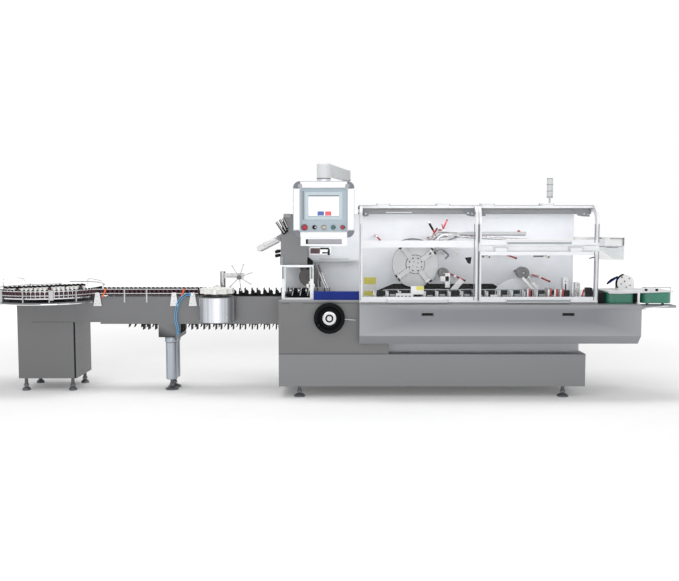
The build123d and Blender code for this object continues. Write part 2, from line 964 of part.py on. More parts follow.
# Lower right door
lower_field_xs = (right_door_xs[0] + stile_width, right_door_xs[1] - stile_width)
lower_field_zs = (door_bottom_z + bottom_rail_height, lower_door_top_z - lower_top_rail_height)
with BuildPart() as lower_door_frame:
    block(right_door_xs, (guard_front, door_back), (door_bottom_z, lower_door_top_z))
    block(lower_field_xs, (guard_front, door_back), lower_field_zs, mode=Mode.SUBTRACT)
    for hinge_x in beam_hinge_xs:
        knuckle(
            hinge_x,
            beam_hinge_y,
            beam_hinge_z,
            (
                (beam_hinge_y - hinge_leaf / 2, beam_hinge_y + hinge_leaf / 2),
                (lower_door_top_z, beam_hinge_z - hinge_pin_radius),
            ),
        )
    door_handle(handle_right_x, door_bottom_z)
finish(lower_door_frame, "lower_door_frame")

with BuildPart() as lower_door_pane:
    block(
        lower_field_xs,
        (guard_front + pane_thickness, guard_front + 2 * pane_thickness),
        lower_field_zs,
    )
finish(lower_door_pane, "lower_door_pane")

# Stub shaft of the handwheel, with the clutch rod beside it
wheel_back = body_front - wheel_standoff
wheel_front = wheel_back - wheel_rim_depth
with BuildPart() as wheel_shaft:
    rod((wheel_x, body_front, wheel_z), (wheel_x, wheel_back + swing_gap, wheel_z), wheel_boss_radius)
    rod((wheel_x, body_front, wheel_z), (wheel_x, wheel_front, wheel_z), wheel_shaft_radius)
    rod(
        (wheel_x, body_front - clutch_rod_standoff, wheel_z),
        (wheel_x + clutch_rod_reach, body_front - clutch_rod_standoff, wheel_z - clutch_rod_drop),
        clutch_rod_radius,
        sides=8,
    )
finish(wheel_shaft, "wheel_shaft")

# Handwheel: a rim and a thinner dished web, turned in one profile, with a crank grip
rim_inner = wheel_radius - wheel_rim_width
web_depth = wheel_rim_depth - wheel_dish
with BuildPart() as handwheel:
    with BuildSketch(Plane(origin=(wheel_x, wheel_back, wheel_z), z_dir=(0, 0, -1), x_dir=(1, 0, 0))):
        with BuildLine():
            Polyline(
                (wheel_hub_radius, 0),
                (wheel_radius, 0),
                (wheel_radius, wheel_rim_depth - wheel_rim_bevel),
                (wheel_radius - wheel_rim_bevel, wheel_rim_depth),
                (rim_inner, wheel_rim_depth),
                (rim_inner - wheel_dish, web_depth),
                (wheel_hub_radius, web_depth),
                close=True,
            )
        make_face()
    revolve(axis=Axis((wheel_x, wheel_back, wheel_z), (0, 1, 0)))
    crank_x = wheel_x + crank_reach * cos(radians(crank_angle))
    crank_z = wheel_z + crank_reach * sin(radians(crank_angle))
    rod(
        (crank_x, wheel_front, crank_z),
        (crank_x, wheel_front - crank_length, crank_z),
        crank_radius,
        sides=12,
    )
finish(handwheel, "handwheel")

with BuildPart() as handwheel_hub:
    rod(
        (wheel_x, wheel_back, wheel_z),
        (wheel_x, wheel_front - hub_cap, wheel_z),
        wheel_hub_radius - hub_seat_gap,
    )
    rod(
        (wheel_x, wheel_back, wheel_z),
        (wheel_x, wheel_front - seat_gap, wheel_z),
        wheel_shaft_radius + running_gap,
        mode=Mode.SUBTRACT,
    )
finish(handwheel_hub, "handwheel_hub")

# Post that carries the operator panel's arm
post_top = arm_bottom_z - seat_gap
with BuildPart() as arm_post:
    rod((arm_post_x, arm_post_y, rear_housing_top), (arm_post_x, arm_post_y, post_top), arm_post_radius)
    rod(
        (arm_post_x, arm_post_y, rear_housing_top),
        (arm_post_x, arm_post_y, rear_housing_top + post_flange_thickness),
        arm_post_radius + post_flange_margin,
        sides=wheel_sides,
    )
    rod(
        (arm_post_x, arm_post_y, post_top),
        (arm_post_x, arm_post_y, post_top + arm_pin_length),
        arm_pin_radius,
    )
finish(arm_post, "arm_post")

# Swing arm, from the post forward to the head over the panel
arm_run = Vector(panel_x - arm_post_x, panel_y - arm_post_y, 0)
arm_plane = Plane(origin=(arm_post_x, arm_post_y, arm_bottom_z), x_dir=arm_run, z_dir=(0, 0, 1))
with BuildPart() as swing_arm:
    with BuildSketch(arm_plane):
        with Locations((arm_run.length / 2, 0)):
            Rectangle(arm_run.length, arm_width)
    extrude(amount=arm_height)
    rod(
        (arm_post_x, arm_post_y, arm_bottom_z),
        (arm_post_x, arm_post_y, arm_top_z),
        arm_post_head_radius,
        sides=wheel_sides,
    )
    rod(
        (panel_x, panel_y, arm_head_bottom_z),
        (panel_x, panel_y, arm_top_z - arm_head_bevel),
        arm_head_radius,
    )
    with Locations((panel_x, panel_y, arm_top_z - arm_head_bevel / 2)):
        Cone(arm_head_radius, arm_head_radius - arm_head_bevel, arm_head_bevel)
    for pin_x, pin_y, pin_z in (
        (arm_post_x, arm_post_y, arm_bottom_z), (panel_x, panel_y, arm_head_bottom_z)
    ):
        rod(
            (pin_x, pin_y, pin_z),
            (pin_x, pin_y, pin_z + arm_pin_length + pin_end_gap),
            arm_pin_radius + running_gap,
            mode=Mode.SUBTRACT,
        )
finish(swing_arm, "swing_arm")

# Operator panel
panel_xs = (panel_x - panel_width / 2, panel_x + panel_width / 2)
field_xs = (panel_xs[0] + panel_frame_width, panel_xs[1] - panel_frame_width)
field_zs = (panel_bottom_z + panel_foot_width, panel_top_z - panel_frame_width)
neck_top = arm_head_bottom_z - seat_gap
with BuildPart() as panel_frame:
    with BuildSketch(Plane.XZ.offset(-panel_back)):
        with Locations((panel_x, (panel_bottom_z + panel_top_z) / 2)):
            RectangleRounded(panel_width, panel_height, panel_frame_width)
    extrude(amount=panel_depth)
    block(field_xs, (panel_front, panel_front + panel_recess), field_zs, mode=Mode.SUBTRACT)
    rod((panel_x, panel_y, panel_top_z), (panel_x, panel_y, neck_top), panel_neck_radius, sides=wheel_sides)
    rod((panel_x, panel_y, neck_top), (panel_x, panel_y, neck_top + arm_pin_length), arm_pin_radius)
finish(panel_frame, "panel_frame")

fascia_y = panel_front + panel_recess - fascia_thickness
with BuildPart() as panel_fascia:
    block(field_xs, (fascia_y, panel_front + panel_recess), field_zs)
finish(panel_fascia, "panel_fascia")

with BuildPart() as panel_screen:
    block(
        (panel_x - screen_width / 2 - screen_bezel, panel_x + screen_width / 2 + screen_bezel),
        (fascia_y - screen_thickness, fascia_y),
        (screen_z - screen_height / 2 - screen_bezel, screen_z + screen_height / 2 + screen_bezel),
    )
    block(
        (panel_x - screen_width / 2, panel_x + screen_width / 2),
        (fascia_y - screen_thickness, fascia_y - screen_thickness / 2),
        (screen_z - screen_height / 2, screen_z + screen_height / 2),
        mode=Mode.SUBTRACT,
    )
finish(panel_screen, "panel_screen")

# Push buttons: the first one has a mushroom head
with BuildPart() as panel_buttons:
    for index in range(button_count):
        button_x = panel_x + (index - (button_count - 1) / 2) * button_spacing
        rod(
            (button_x, fascia_y, button_z),
            (button_x, fascia_y - button_length, button_z),
            button_radius,
            sides=wheel_sides,
        )
    first_x = panel_x - (button_count - 1) / 2 * button_spacing
    rod(
        (first_x, fascia_y - button_length, button_z),
        (first_x, fascia_y - button_length - mushroom_thickness, button_z),
        mushroom_radius,
        sides=wheel_sides,
    )
finish(panel_buttons, "panel_buttons")

tray_bottom_z = panel_bottom_z - tray_height
tray_slot_z = (tray_bottom_z + panel_bottom_z) / 2
with BuildPart() as panel_tray:
    block(
        (panel_x - tray_width / 2, panel_x + tray_width / 2),
        (panel_front, panel_back),
        (tray_bottom_z, panel_bottom_z),
    )
    block(
        (panel_x - tray_slot_width / 2, panel_x + tray_slot_width / 2),
        (panel_front, panel_front + tray_slot_depth),
        (tray_slot_z - tray_slot_height / 2, tray_slot_z + tray_slot_height / 2),
        mode=Mode.SUBTRACT,
    )
finish(panel_tray, "panel_tray")

# Turntable: cabinet, fixed pan with its bearing, and the disc on its spindle
with BuildPart() as turntable_cabinet:
    block(
        (cabinet_left, cabinet_right),
        (cabinet_front, cabinet_front + cabinet_depth),
        (cabinet_bottom, cabinet_top),
    )
finish(turntable_cabinet, "turntable_cabinet")

disc_bottom_z = belt_top - turntable_thickness
with BuildPart() as turntable_pan:
    rod(
        (turntable_x, turntable_y, pan_bottom_z),
        (turntable_x, turntable_y, pan_bottom_z + pan_thickness),
        pan_radius,
    )
    rod(
        (turntable_x, turntable_y, cabinet_top),
        (turntable_x, turntable_y, disc_bottom_z - seat_gap),
        turntable_bearing_radius,
        sides=wheel_sides,
    )
    rod(
        (turntable_x, turntable_y, cabinet_top),
        (turntable_x, turntable_y, disc_bottom_z),
        turntable_spindle_radius + running_gap,
        mode=Mode.SUBTRACT,
    )
finish(turntable_pan, "turntable_pan")

with BuildPart() as turntable_disc:
    rod((turntable_x, turntable_y, disc_bottom_z), (turntable_x, turntable_y, belt_top), turntable_radius)
    rod(
        (turntable_x, turntable_y, cabinet_top + pin_end_gap),
        (turntable_x, turntable_y, disc_bottom_z),
        turntable_spindle_radius,
    )
finish(turntable_disc, "turntable_disc")


def on_ring(radius, angle, z):
    """A point on a circle round the turntable's axis."""
    return (
        turntable_x + radius * cos(radians(angle)),
        turntable_y + radius * sin(radians(angle)),
        z,
    )


# Guide strips round the turntable and on along the conveyor, on their posts
strip_front = conveyor_front - rail_standoff
guide_end_angle = degrees(asin((strip_front + guide_strip_depth / 2 - turntable_y) / guide_ring_radius))
guide_sweep = 360 + guide_end_angle - guide_start
straight_left = on_ring(guide_ring_radius, guide_end_angle, 0)[0]
straight_right = star_x - star_radius - rail_end_gap
inner_strip_y = slat_belt_y + slat_belt_width / 2 + rail_lane_gap
cross_bar_xs = [conveyor_left + step for step in cross_bar_steps]
with BuildPart() as guide_rails:
    for strip_z in guide_zs:
        ring_part(
            Plane.XY.offset(strip_z),
            (turntable_x, turntable_y),
            guide_ring_radius - guide_strip_depth / 2,
            guide_ring_radius + guide_strip_depth / 2,
            guide_start,
            guide_sweep,
            guide_strip_height,
        )
        block(
            (straight_left, straight_right),
            (strip_front, strip_front + guide_strip_depth),
            (strip_z, strip_z + guide_strip_height),
        )
        block(
            (conveyor_left, paddle_x - paddle_reach),
            (inner_strip_y, inner_strip_y + guide_strip_depth),
            (strip_z, strip_z + guide_strip_height),
        )
    strip_top = guide_zs[-1] + guide_strip_height
    for angle in guide_post_angles:
        post = on_ring(guide_ring_radius, angle, pan_bottom_z + pan_thickness)
        rod(post, (post[0], post[1], strip_top + guide_post_rise), guide_post_radius, sides=6)
    for post_x in (leg_x - 2 * leg_box_width, leg_x - leg_box_width):
        block(
            (post_x - guide_post_radius, post_x + guide_post_radius),
            (strip_front, conveyor_front),
            (conveyor_top - guide_post_foot, strip_top),
        )
    for post_x in cross_bar_xs:
        block(
            (post_x - guide_post_radius, post_x + guide_post_radius),
            (inner_strip_y, inner_strip_y + guide_strip_depth),
            (cross_bar_z + cross_bar_height, strip_top),
        )
finish(guide_rails, "guide_rails")

# Infeed conveyor: two side plates on cross bars, and the closed step at its left end
with BuildPart() as infeed_conveyor:
    for side_y in (conveyor_front, conveyor_back - conveyor_side):
        block(
            (conveyor_left, body_left),
            (side_y, side_y + conveyor_side),
            (conveyor_bottom, conveyor_top),
        )
    for bar_x in cross_bar_xs:
        block(
            (bar_x - cross_bar_half, bar_x + cross_bar_half),
            (conveyor_front + conveyor_side, conveyor_back - conveyor_side),
            (cross_bar_z, cross_bar_z + cross_bar_height),
        )
    block(
        (cabinet_right, conveyor_left),
        (conveyor_front, conveyor_back),
        (conveyor_bottom + conveyor_step, cabinet_top),
    )
finish(infeed_conveyor, "infeed_conveyor")


def loop_belt(plane, middle, half_length, wheel_radius, thickness, width):
    """A closed belt round two wheels; half_length reaches from the middle to a wheel's centre."""
    radius = wheel_radius + thickness
    with BuildSketch(plane) as section:
        with Locations(middle):
            SlotOverall(2 * (half_length + radius), 2 * radius)
            SlotOverall(2 * (half_length + wheel_radius), 2 * wheel_radius, mode=Mode.SUBTRACT)
    extrude(section.sketch, amount=width)


# Slat belt that brings the bottles from the turntable
slat_left = conveyor_left + swing_gap + slat_wheel_radius + slat_thickness
slat_right = body_left - slat_belt_end - slat_wheel_radius - slat_thickness
slat_z = belt_top - slat_thickness - slat_wheel_radius
with BuildPart() as slat_belt:
    loop_belt(
        Plane.XZ.offset(-(slat_belt_y + slat_belt_width / 2)),
        ((slat_left + slat_right) / 2, slat_z),
        (slat_right - slat_left) / 2,
        slat_wheel_radius,
        slat_thickness,
        slat_belt_width,
    )
finish(slat_belt, "slat_belt")

# Bucket chain: a belt that carries a row of blocks with two prongs each
bucket_left = body_left - bucket_chain_start + bucket_wheel_radius + bucket_belt_thickness
bucket_right = body_left + bucket_chain_reach - bucket_wheel_radius - bucket_belt_thickness
bucket_z = belt_top - bucket_belt_thickness - bucket_wheel_radius
bucket_count = int((bucket_right - bucket_left) // bucket_pitch) + 1
bucket_front = bucket_chain_y - bucket_chain_width / 2
bucket_back = bucket_chain_y + bucket_chain_width / 2
with BuildPart() as bucket_chain:
    loop_belt(
        Plane.XZ.offset(-bucket_back),
        ((bucket_left + bucket_right) / 2, bucket_z),
        (bucket_right - bucket_left) / 2,
        bucket_wheel_radius,
        bucket_belt_thickness,
        bucket_chain_width,
    )
    for index in range(bucket_count):
        bucket_x = bucket_left + index * bucket_pitch
        for side in (-1, 1):
            run_z = bucket_z + side * (bucket_wheel_radius + bucket_belt_thickness)
            block(
                (bucket_x, bucket_x + bucket_length),
                (bucket_front, bucket_back),
                (run_z, run_z + side * bucket_base),
            )
            for prong_x in (bucket_x, bucket_x + bucket_length - bucket_plate):
                block(
                    (prong_x, prong_x + bucket_plate),
                    (bucket_front, bucket_back),
                    (run_z, run_z + side * bucket_height),
                )
finish(bucket_chain, "bucket_chain")

# Wheels inside both loops, on shafts between the side plates
with BuildPart() as belt_wheels:
    for wheel in (slat_left, slat_right):
        rod(
            (wheel, slat_belt_y - slat_belt_width / 2 + wheel_inset, slat_z),
            (wheel, slat_belt_y + slat_belt_width / 2 - wheel_inset, slat_z),
            slat_wheel_radius,
            sides=wheel_sides,
        )
        rod(
            (wheel, conveyor_front + conveyor_side, slat_z),
            (wheel, conveyor_back - conveyor_side, slat_z),
            wheel_shaft_radius_small,
            sides=6,
        )
    rod(
        (bucket_left, bucket_front + wheel_inset, bucket_z),
        (bucket_left, bucket_back - wheel_inset, bucket_z),
        bucket_wheel_radius,
        sides=wheel_sides,
    )
    rod(
        (bucket_left, bucket_back - wheel_inset, bucket_z),
        (bucket_left, conveyor_back - conveyor_side, bucket_z),
        wheel_shaft_radius_small,
        sides=6,
    )
finish(belt_wheels, "belt_wheels")

# Support leg: an open bracket under the side plates on two columns
leg_xs = (leg_x - leg_box_width / 2, leg_x + leg_box_width / 2)
leg_box_bottom = conveyor_bottom - leg_box_height
hose_x = conveyor_left + plate_steps[-1]
hose_y = strip_front - plate_thickness - hose_standoff
with BuildPart() as support_leg:
    block(leg_xs, (conveyor_front, conveyor_back), (leg_box_bottom, leg_box_bottom + leg_floor))
    for cheek_y in (conveyor_front, conveyor_back - conveyor_side):
        block(leg_xs, (cheek_y, cheek_y + conveyor_side), (leg_box_bottom, conveyor_bottom))
    for leg_y in leg_ys:
        rod(
            (leg_x, leg_y, leg_foot_height),
            (leg_x, leg_y, leg_box_bottom),
            leg_column_radius,
            sides=wheel_sides,
        )
        rod(
            (leg_x, leg_y, leg_box_bottom - leg_collar_height),
            (leg_x, leg_y, leg_box_bottom),
            leg_collar_radius,
            sides=wheel_sides,
        )
    block(
        (leg_xs[1] - hose_gland_length, leg_xs[1]),
        (hose_y - hose_block_half, conveyor_front),
        (leg_box_bottom, conveyor_top + air_hose_steps[0][-1][1]),
    )
finish(support_leg, "support_leg")

# Plates that hold the guide strips against the conveyor's side
plate_top = conveyor_top - plate_drop + plate_height
with BuildPart() as rail_brackets:
    for plate_step in plate_steps:
        plate_x = conveyor_left + plate_step
        prism(
            Plane.XZ.offset(-strip_front),
            [
                (plate_x - plate_base / 2, conveyor_top - plate_drop),
                (plate_x + plate_base / 2, conveyor_top - plate_drop),
                (plate_x + plate_tip / 2, plate_top),
                (plate_x - plate_tip / 2, plate_top),
            ],
            plate_thickness,
        )
        block(
            (plate_x - plate_tip / 2, plate_x + plate_tip / 2),
            (strip_front, conveyor_front),
            (conveyor_top - plate_drop + plate_spacer_rise, conveyor_top - plate_spacer_rise),
        )
    block(
        (hose_x - hose_block_half, hose_x + hose_block_half),
        (hose_y - hose_block_half, strip_front - plate_thickness),
        (plate_top - hose_block_height, plate_top),
    )
finish(rail_brackets, "rail_brackets")


def bend_radii(points):
    """The largest bends that the runs between the points leave room for."""
    radii = []
    for before, here, after in zip(points, points[1:], points[2:]):
        first, second = Vector(*here) - Vector(*before), Vector(*after) - Vector(*here)
        half_turn = radians(first.get_angle(second) / 2)
        radii.append(hose_bend_share * min(first.length, second.length) / tan(half_turn))
    return radii


def air_hose(name, steps):
    """An eight-sided hose along steps on X and Z from its fitting, clipped at both ends."""
    points = [(hose_x + step_x, hose_y, conveyor_top + step_z) for step_x, step_z in steps]
    radii = bend_radii(points)
    print(name, "bend radii", [round(radius) for radius in radii])
    with BuildPart() as hose:
        with BuildLine() as route:
            FilletPolyline(*points, radius=radii)
        with BuildSketch(Plane(origin=points[0], x_dir=(0, 1, 0), z_dir=(-1, 0, 0))):
            RegularPolygon(hose_radius, 8)
        sweep(path=route.wires()[0])
    finish(hose, name)


# Two air hoses, from the fitting on the third bracket down to the leg
for hose_name, hose_steps in zip(("front_air_hose", "rear_air_hose"), air_hose_steps):
    air_hose(hose_name, hose_steps)

# Half drum and the star wheel that turns over it
with BuildPart() as star_drum:
    rod((star_x, star_y, drum_bottom_z), (star_x, star_y, drum_top_z), drum_radius)
    block(
        (star_x - 2 * drum_radius, star_x + 2 * drum_radius),
        (conveyor_front, conveyor_back),
        (drum_bottom_z, drum_top_z),
        mode=Mode.SUBTRACT,
    )
    rod(
        (star_x, star_y, drum_top_z),
        (star_x, star_y, star_bottom_z - seat_gap),
        star_hub_radius,
        sides=wheel_sides,
    )
    rod((star_x, star_y, drum_top_z), (star_x, star_y, star_bottom_z + star_thickness / 2), star_pin_radius)
finish(star_drum, "star_drum")

with BuildPart() as star_wheel:
    with BuildSketch(Plane.XY.offset(star_bottom_z)):
        with Locations((star_x, star_y)):
            Circle(star_radius)
            with PolarLocations(star_radius + star_pocket_shift, star_pockets):
                Circle(star_pocket_radius, mode=Mode.SUBTRACT)
    extrude(amount=star_thickness)
    rod(
        (star_x, star_y, star_bottom_z),
        (star_x, star_y, star_bottom_z + star_thickness / 2 + pin_end_gap),
        star_pin_radius + running_gap,
        mode=Mode.SUBTRACT,
    )
finish(star_wheel, "star_wheel")

# Paddle wheel on an arm from a post behind the conveyor
paddle_post_y = conveyor_back + paddle_post_setback
beam_low = paddle_z - paddle_beam_height / 2
paddle_beam_zs = (beam_low, beam_low + paddle_beam_height)
with BuildPart() as paddle_stand:
    rod(
        (paddle_post_x, paddle_post_y, conveyor_top - paddle_post_foot),
        (paddle_post_x, paddle_post_y, paddle_beam_zs[1] + paddle_post_rise),
        paddle_post_width / 2,
        sides=wheel_sides,
    )
    block(
        (paddle_post_x - paddle_post_width / 2, paddle_post_x + paddle_post_width / 2),
        (conveyor_back, paddle_post_y),
        (conveyor_top - paddle_post_foot, conveyor_top - paddle_post_foot / 4),
    )
    block(
        (paddle_post_x, paddle_x + paddle_beam_depth / 2),
        (paddle_post_y - paddle_beam_depth / 2, paddle_post_y + paddle_beam_depth / 2),
        paddle_beam_zs,
    )
    block(
        (paddle_x - paddle_beam_depth / 2, paddle_x + paddle_beam_depth / 2),
        (paddle_y + paddle_stand_gap, paddle_post_y),
        paddle_beam_zs,
    )
    rod(
        (paddle_x, paddle_y + paddle_stand_gap, paddle_z),
        (paddle_x, paddle_y - paddle_hub_length / 2, paddle_z),
        paddle_pin_radius,
    )
finish(paddle_stand, "paddle_stand")

with BuildPart() as paddle_wheel:
    rod(
        (paddle_x, paddle_y + paddle_hub_length / 2, paddle_z),
        (paddle_x, paddle_y - paddle_hub_length / 2, paddle_z),
        paddle_hub_radius,
        sides=wheel_sides,
    )
    for index in range(paddle_arms):
        angle = radians(paddle_start_angle + index * 360 / paddle_arms)
        tip_x = paddle_x + paddle_reach * cos(angle)
        tip_z = paddle_z + paddle_reach * sin(angle)
        rod((paddle_x, paddle_y, paddle_z), (tip_x, paddle_y, tip_z), paddle_arm_radius, sides=6)
        rod(
            (tip_x, paddle_y - paddle_tip_radius, tip_z),
            (tip_x, paddle_y + paddle_tip_radius, tip_z),
            paddle_tip_radius,
            sides=8,
        )
    rod(
        (paddle_x, paddle_y + paddle_hub_length / 2, paddle_z),
        (paddle_x, paddle_y - paddle_hub_length / 2, paddle_z),
        paddle_pin_radius + running_gap,
        mode=Mode.SUBTRACT,
    )
finish(paddle_wheel, "paddle_wheel")

# Small infeed guard
small_guard_ys = (small_guard_front, small_guard_front + small_post_depth)
with BuildPart() as infeed_guard:
    block((small_guard_left, small_guard_right), small_guard_ys, (left_cabinet_top, small_guard_top))
    block(
        (small_guard_left + small_post_width, small_guard_right - small_post_width),
        small_guard_ys,
        (left_cabinet_top + small_bottom_rail, small_guard_top - small_top_rail),
        mode=Mode.SUBTRACT,
    )
finish(infeed_guard, "infeed_guard")

# Blue panel
blue_panel_front = body_front + blue_panel_setback
with BuildPart() as blue_panel:
    block(
        (small_guard_right, apron_left),
        (blue_panel_front, blue_panel_front + blue_panel_thickness),
        (left_cabinet_top, left_cabinet_top + blue_panel_height),
    )
finish(blue_panel, "blue_panel")

# Leaflet unit housing
with BuildPart() as leaflet_housing:
    prism(
        Plane.XZ.offset(-back_plate_front),
        [
            (leaflet_left, leaflet_bottom),
            (leaflet_right, leaflet_bottom),
            (leaflet_right, leaflet_top),
            (leaflet_left + leaflet_bulge, leaflet_top),
            (leaflet_left, leaflet_bottom + leaflet_bulge_rise),
        ],
        back_plate_front - leaflet_front,
    )
finish(leaflet_housing, "leaflet_housing")

# Leaflet feeder: chute and pegs on the housing, shelf, drum and clamp on the back plate
chute_top_z = leaflet_bottom + leaflet_chute_rise
chute_tip_z = chute_top_z - leaflet_chute_drop
bin_z = table_height + bin_rise + bin_radius
shelf_z = table_height + feeder_shelf_rise
clamp_z = table_height + clamp_rise
with BuildPart() as leaflet_parts:
    prism(
        Plane.XZ.offset(-(leaflet_chute_y + leaflet_chute_depth / 2)),
        [
            (leaflet_left, chute_top_z),
            (leaflet_left - leaflet_chute_reach, chute_tip_z),
            (leaflet_left - leaflet_chute_reach, chute_tip_z - leaflet_chute_thickness),
            (leaflet_left, chute_top_z - leaflet_chute_thickness),
        ],
        leaflet_chute_depth,
    )
    for peg_rise in peg_rises:
        rod(
            (leaflet_left, leaflet_chute_y, leaflet_bottom + peg_rise),
            (leaflet_left - peg_length, leaflet_chute_y, leaflet_bottom + peg_rise),
            peg_radius,
            sides=12,
        )
    block(
        (leaflet_right, apron_left),
        (back_plate_front - feeder_shelf_depth, back_plate_front),
        (shelf_z, shelf_z + feeder_shelf_thickness),
    )
    rod((bin_x, bin_front + bin_thickness, bin_z), (bin_x, bin_front, bin_z), bin_radius, sides=wheel_sides)
    rod(
        (bin_x, back_plate_front, bin_z),
        (bin_x, bin_front + bin_thickness, bin_z),
        bin_shaft_radius,
        sides=12,
    )
    block(
        (clamp_x, clamp_x + clamp_width),
        (bin_front, bin_front + clamp_depth),
        (clamp_z, clamp_z + clamp_height),
    )
    block(
        (clamp_x - clamp_width, clamp_x),
        (bin_front, bin_front + clamp_depth / 3),
        (clamp_z, clamp_z + clamp_height),
    )
    rod(
        (clamp_x + clamp_width / 2, bin_front + clamp_depth, clamp_z + clamp_height / 2),
        (clamp_x + clamp_width / 2, back_plate_front, clamp_z + clamp_height / 2),
        bin_shaft_radius,
        sides=12,
    )
finish(leaflet_parts, "leaflet_parts")

# Suction rotor on its shaft
rotor_back = rotor_y + rotor_thickness
with BuildPart() as rotor_shaft:
    rod(
        (rotor_x, back_plate_front, rotor_z),
        (rotor_x, rotor_back + rotor_housing_gap, rotor_z),
        rotor_housing_radius,
        sides=wheel_sides,
    )
    rod((rotor_x, back_plate_front, rotor_z), (rotor_x, rotor_y, rotor_z), rotor_shaft_radius)
finish(rotor_shaft, "rotor_shaft")

with BuildPart() as suction_rotor:
    rod((rotor_x, rotor_back, rotor_z), (rotor_x, rotor_y, rotor_z), rotor_radius)
    rod(
        (rotor_x, rotor_y, rotor_z),
        (rotor_x, rotor_y - rotor_hub_height, rotor_z),
        rotor_hub_radius,
        sides=wheel_sides,
    )
    for index in range(rotor_bolts):
        angle = radians(index * 360 / rotor_bolts)
        bolt_x = rotor_x + rotor_bolt_circle * cos(angle)
        bolt_z = rotor_z + rotor_bolt_circle * sin(angle)
        bolt_front = rotor_y - rotor_hub_height - rotor_bolt_radius
        rod((bolt_x, rotor_y, bolt_z), (bolt_x, bolt_front, bolt_z), rotor_bolt_radius, sides=6)
    for index in range(suction_arms):
        angle = suction_arm_angle + index * 360 / suction_arms
        arm_origin = (rotor_x, rotor_y, rotor_z)
        arm_dir = (cos(radians(angle)), 0, sin(radians(angle)))
        with BuildSketch(Plane(origin=arm_origin, x_dir=arm_dir, z_dir=(0, -1, 0))):
            with Locations((suction_arm_radius - suction_arm_length / 2, 0)):
                Rectangle(suction_arm_length, suction_arm_width)
        extrude(amount=suction_arm_depth)
        cup_start = [c + d * suction_arm_radius for c, d in zip(arm_origin, arm_dir)]
        cup_end = [c + d * (suction_arm_radius + suction_cup_length) for c, d in zip(arm_origin, arm_dir)]
        cup_start[1] = cup_end[1] = rotor_y - suction_arm_depth / 2
        rod(cup_start, cup_end, suction_cup_radius, sides=12)
    rod(
        (rotor_x, rotor_back, rotor_z),
        (rotor_x, rotor_y - pin_end_gap, rotor_z),
        rotor_shaft_radius + running_gap,
        mode=Mode.SUBTRACT,
    )
finish(suction_rotor, "suction_rotor")

# Magazine rails that slope down along the carton row and bend at their foot
rail_left = guard_left + magazine_offset
rail_right = rail_left + magazine_length
rail_z = table_height + magazine_rise
rail_ys = (rotor_y - magazine_rail_setback, rotor_y - magazine_rail_setback + magazine_width)
with BuildPart() as carton_rails:
    for rail_y in rail_ys:
        prism(
            Plane.XZ.offset(-(rail_y + magazine_rail)),
            [
                (rail_left, rail_z),
                (rail_right, rail_z - magazine_drop),
                (rail_right, rail_z - magazine_drop + magazine_rail),
                (rail_left, rail_z + magazine_rail),
            ],
            magazine_rail,
        )
        ring_part(
            Plane.XZ.offset(-(rail_y + magazine_rail)),
            (rail_left, rail_z - magazine_bend),
            magazine_bend,
            magazine_bend + magazine_rail,
            90,
            90,
            magazine_rail,
        )
    for share in magazine_post_shares:
        post_x = rail_left + share * magazine_length
        post_z = rail_z - share * magazine_drop
        block(
            (post_x - magazine_rail, post_x + magazine_rail),
            (rail_ys[0], back_plate_front),
            (post_z - magazine_rail, post_z + magazine_rail / 3),
        )
finish(carton_rails, "carton_rails")

# Pressure rollers on shafts from the back plate
with BuildPart() as carton_rollers:
    for offset, rise, radius in zip(roller_offsets, roller_rises, roller_radii):
        roller_x = guard_left + offset
        roller_z = table_height + rise
        roller_front = rotor_y - roller_length / 2
        rod(
            (roller_x, roller_front + roller_length, roller_z),
            (roller_x, roller_front, roller_z),
            radius,
            sides=wheel_sides,
        )
        rod(
            (roller_x, back_plate_front, roller_z),
            (roller_x, roller_front + roller_length, roller_z),
            roller_shaft_radius,
            sides=12,
        )
finish(carton_rollers, "carton_rollers")

# Clamp levers on stems from the back plate
with BuildPart() as clamp_levers:
    for offset, rise, angle in zip(lever_offsets, lever_rises, lever_angles):
        lever_x = guard_left + offset
        lever_z = table_height + rise
        grip_x = lever_x + lever_length * cos(radians(angle))
        grip_z = lever_z + lever_length * sin(radians(angle))
        rod(
            (lever_x, back_plate_front, lever_z),
            (lever_x, lever_front, lever_z),
            lever_hub_radius,
            sides=8,
        )
        rod(
            (lever_x, lever_front + lever_hub_radius, lever_z),
            (grip_x, lever_front + lever_hub_radius, grip_z),
            lever_grip_radius,
            sides=8,
        )
finish(clamp_levers, "clamp_levers")

# Carton chain with its lugs
chain_ys = (chain_y - chain_width / 2, chain_y + chain_width / 2)
lug_count = int((chain_right - chain_left) // lug_pitch)
with BuildPart() as carton_chain:
    block((chain_left, chain_right), chain_ys, (table_height, chain_top))
    for index in range(lug_count):
        lug_x = chain_left + (index + 0.5) * lug_pitch
        for lug_y in (chain_ys[0] + lug_width, chain_ys[1] - lug_width):
            block(
                (lug_x - lug_thickness / 2, lug_x + lug_thickness / 2),
                (lug_y - lug_width / 2, lug_y + lug_width / 2),
                (chain_top, chain_top + lug_height),
            )
finish(carton_chain, "carton_chain")

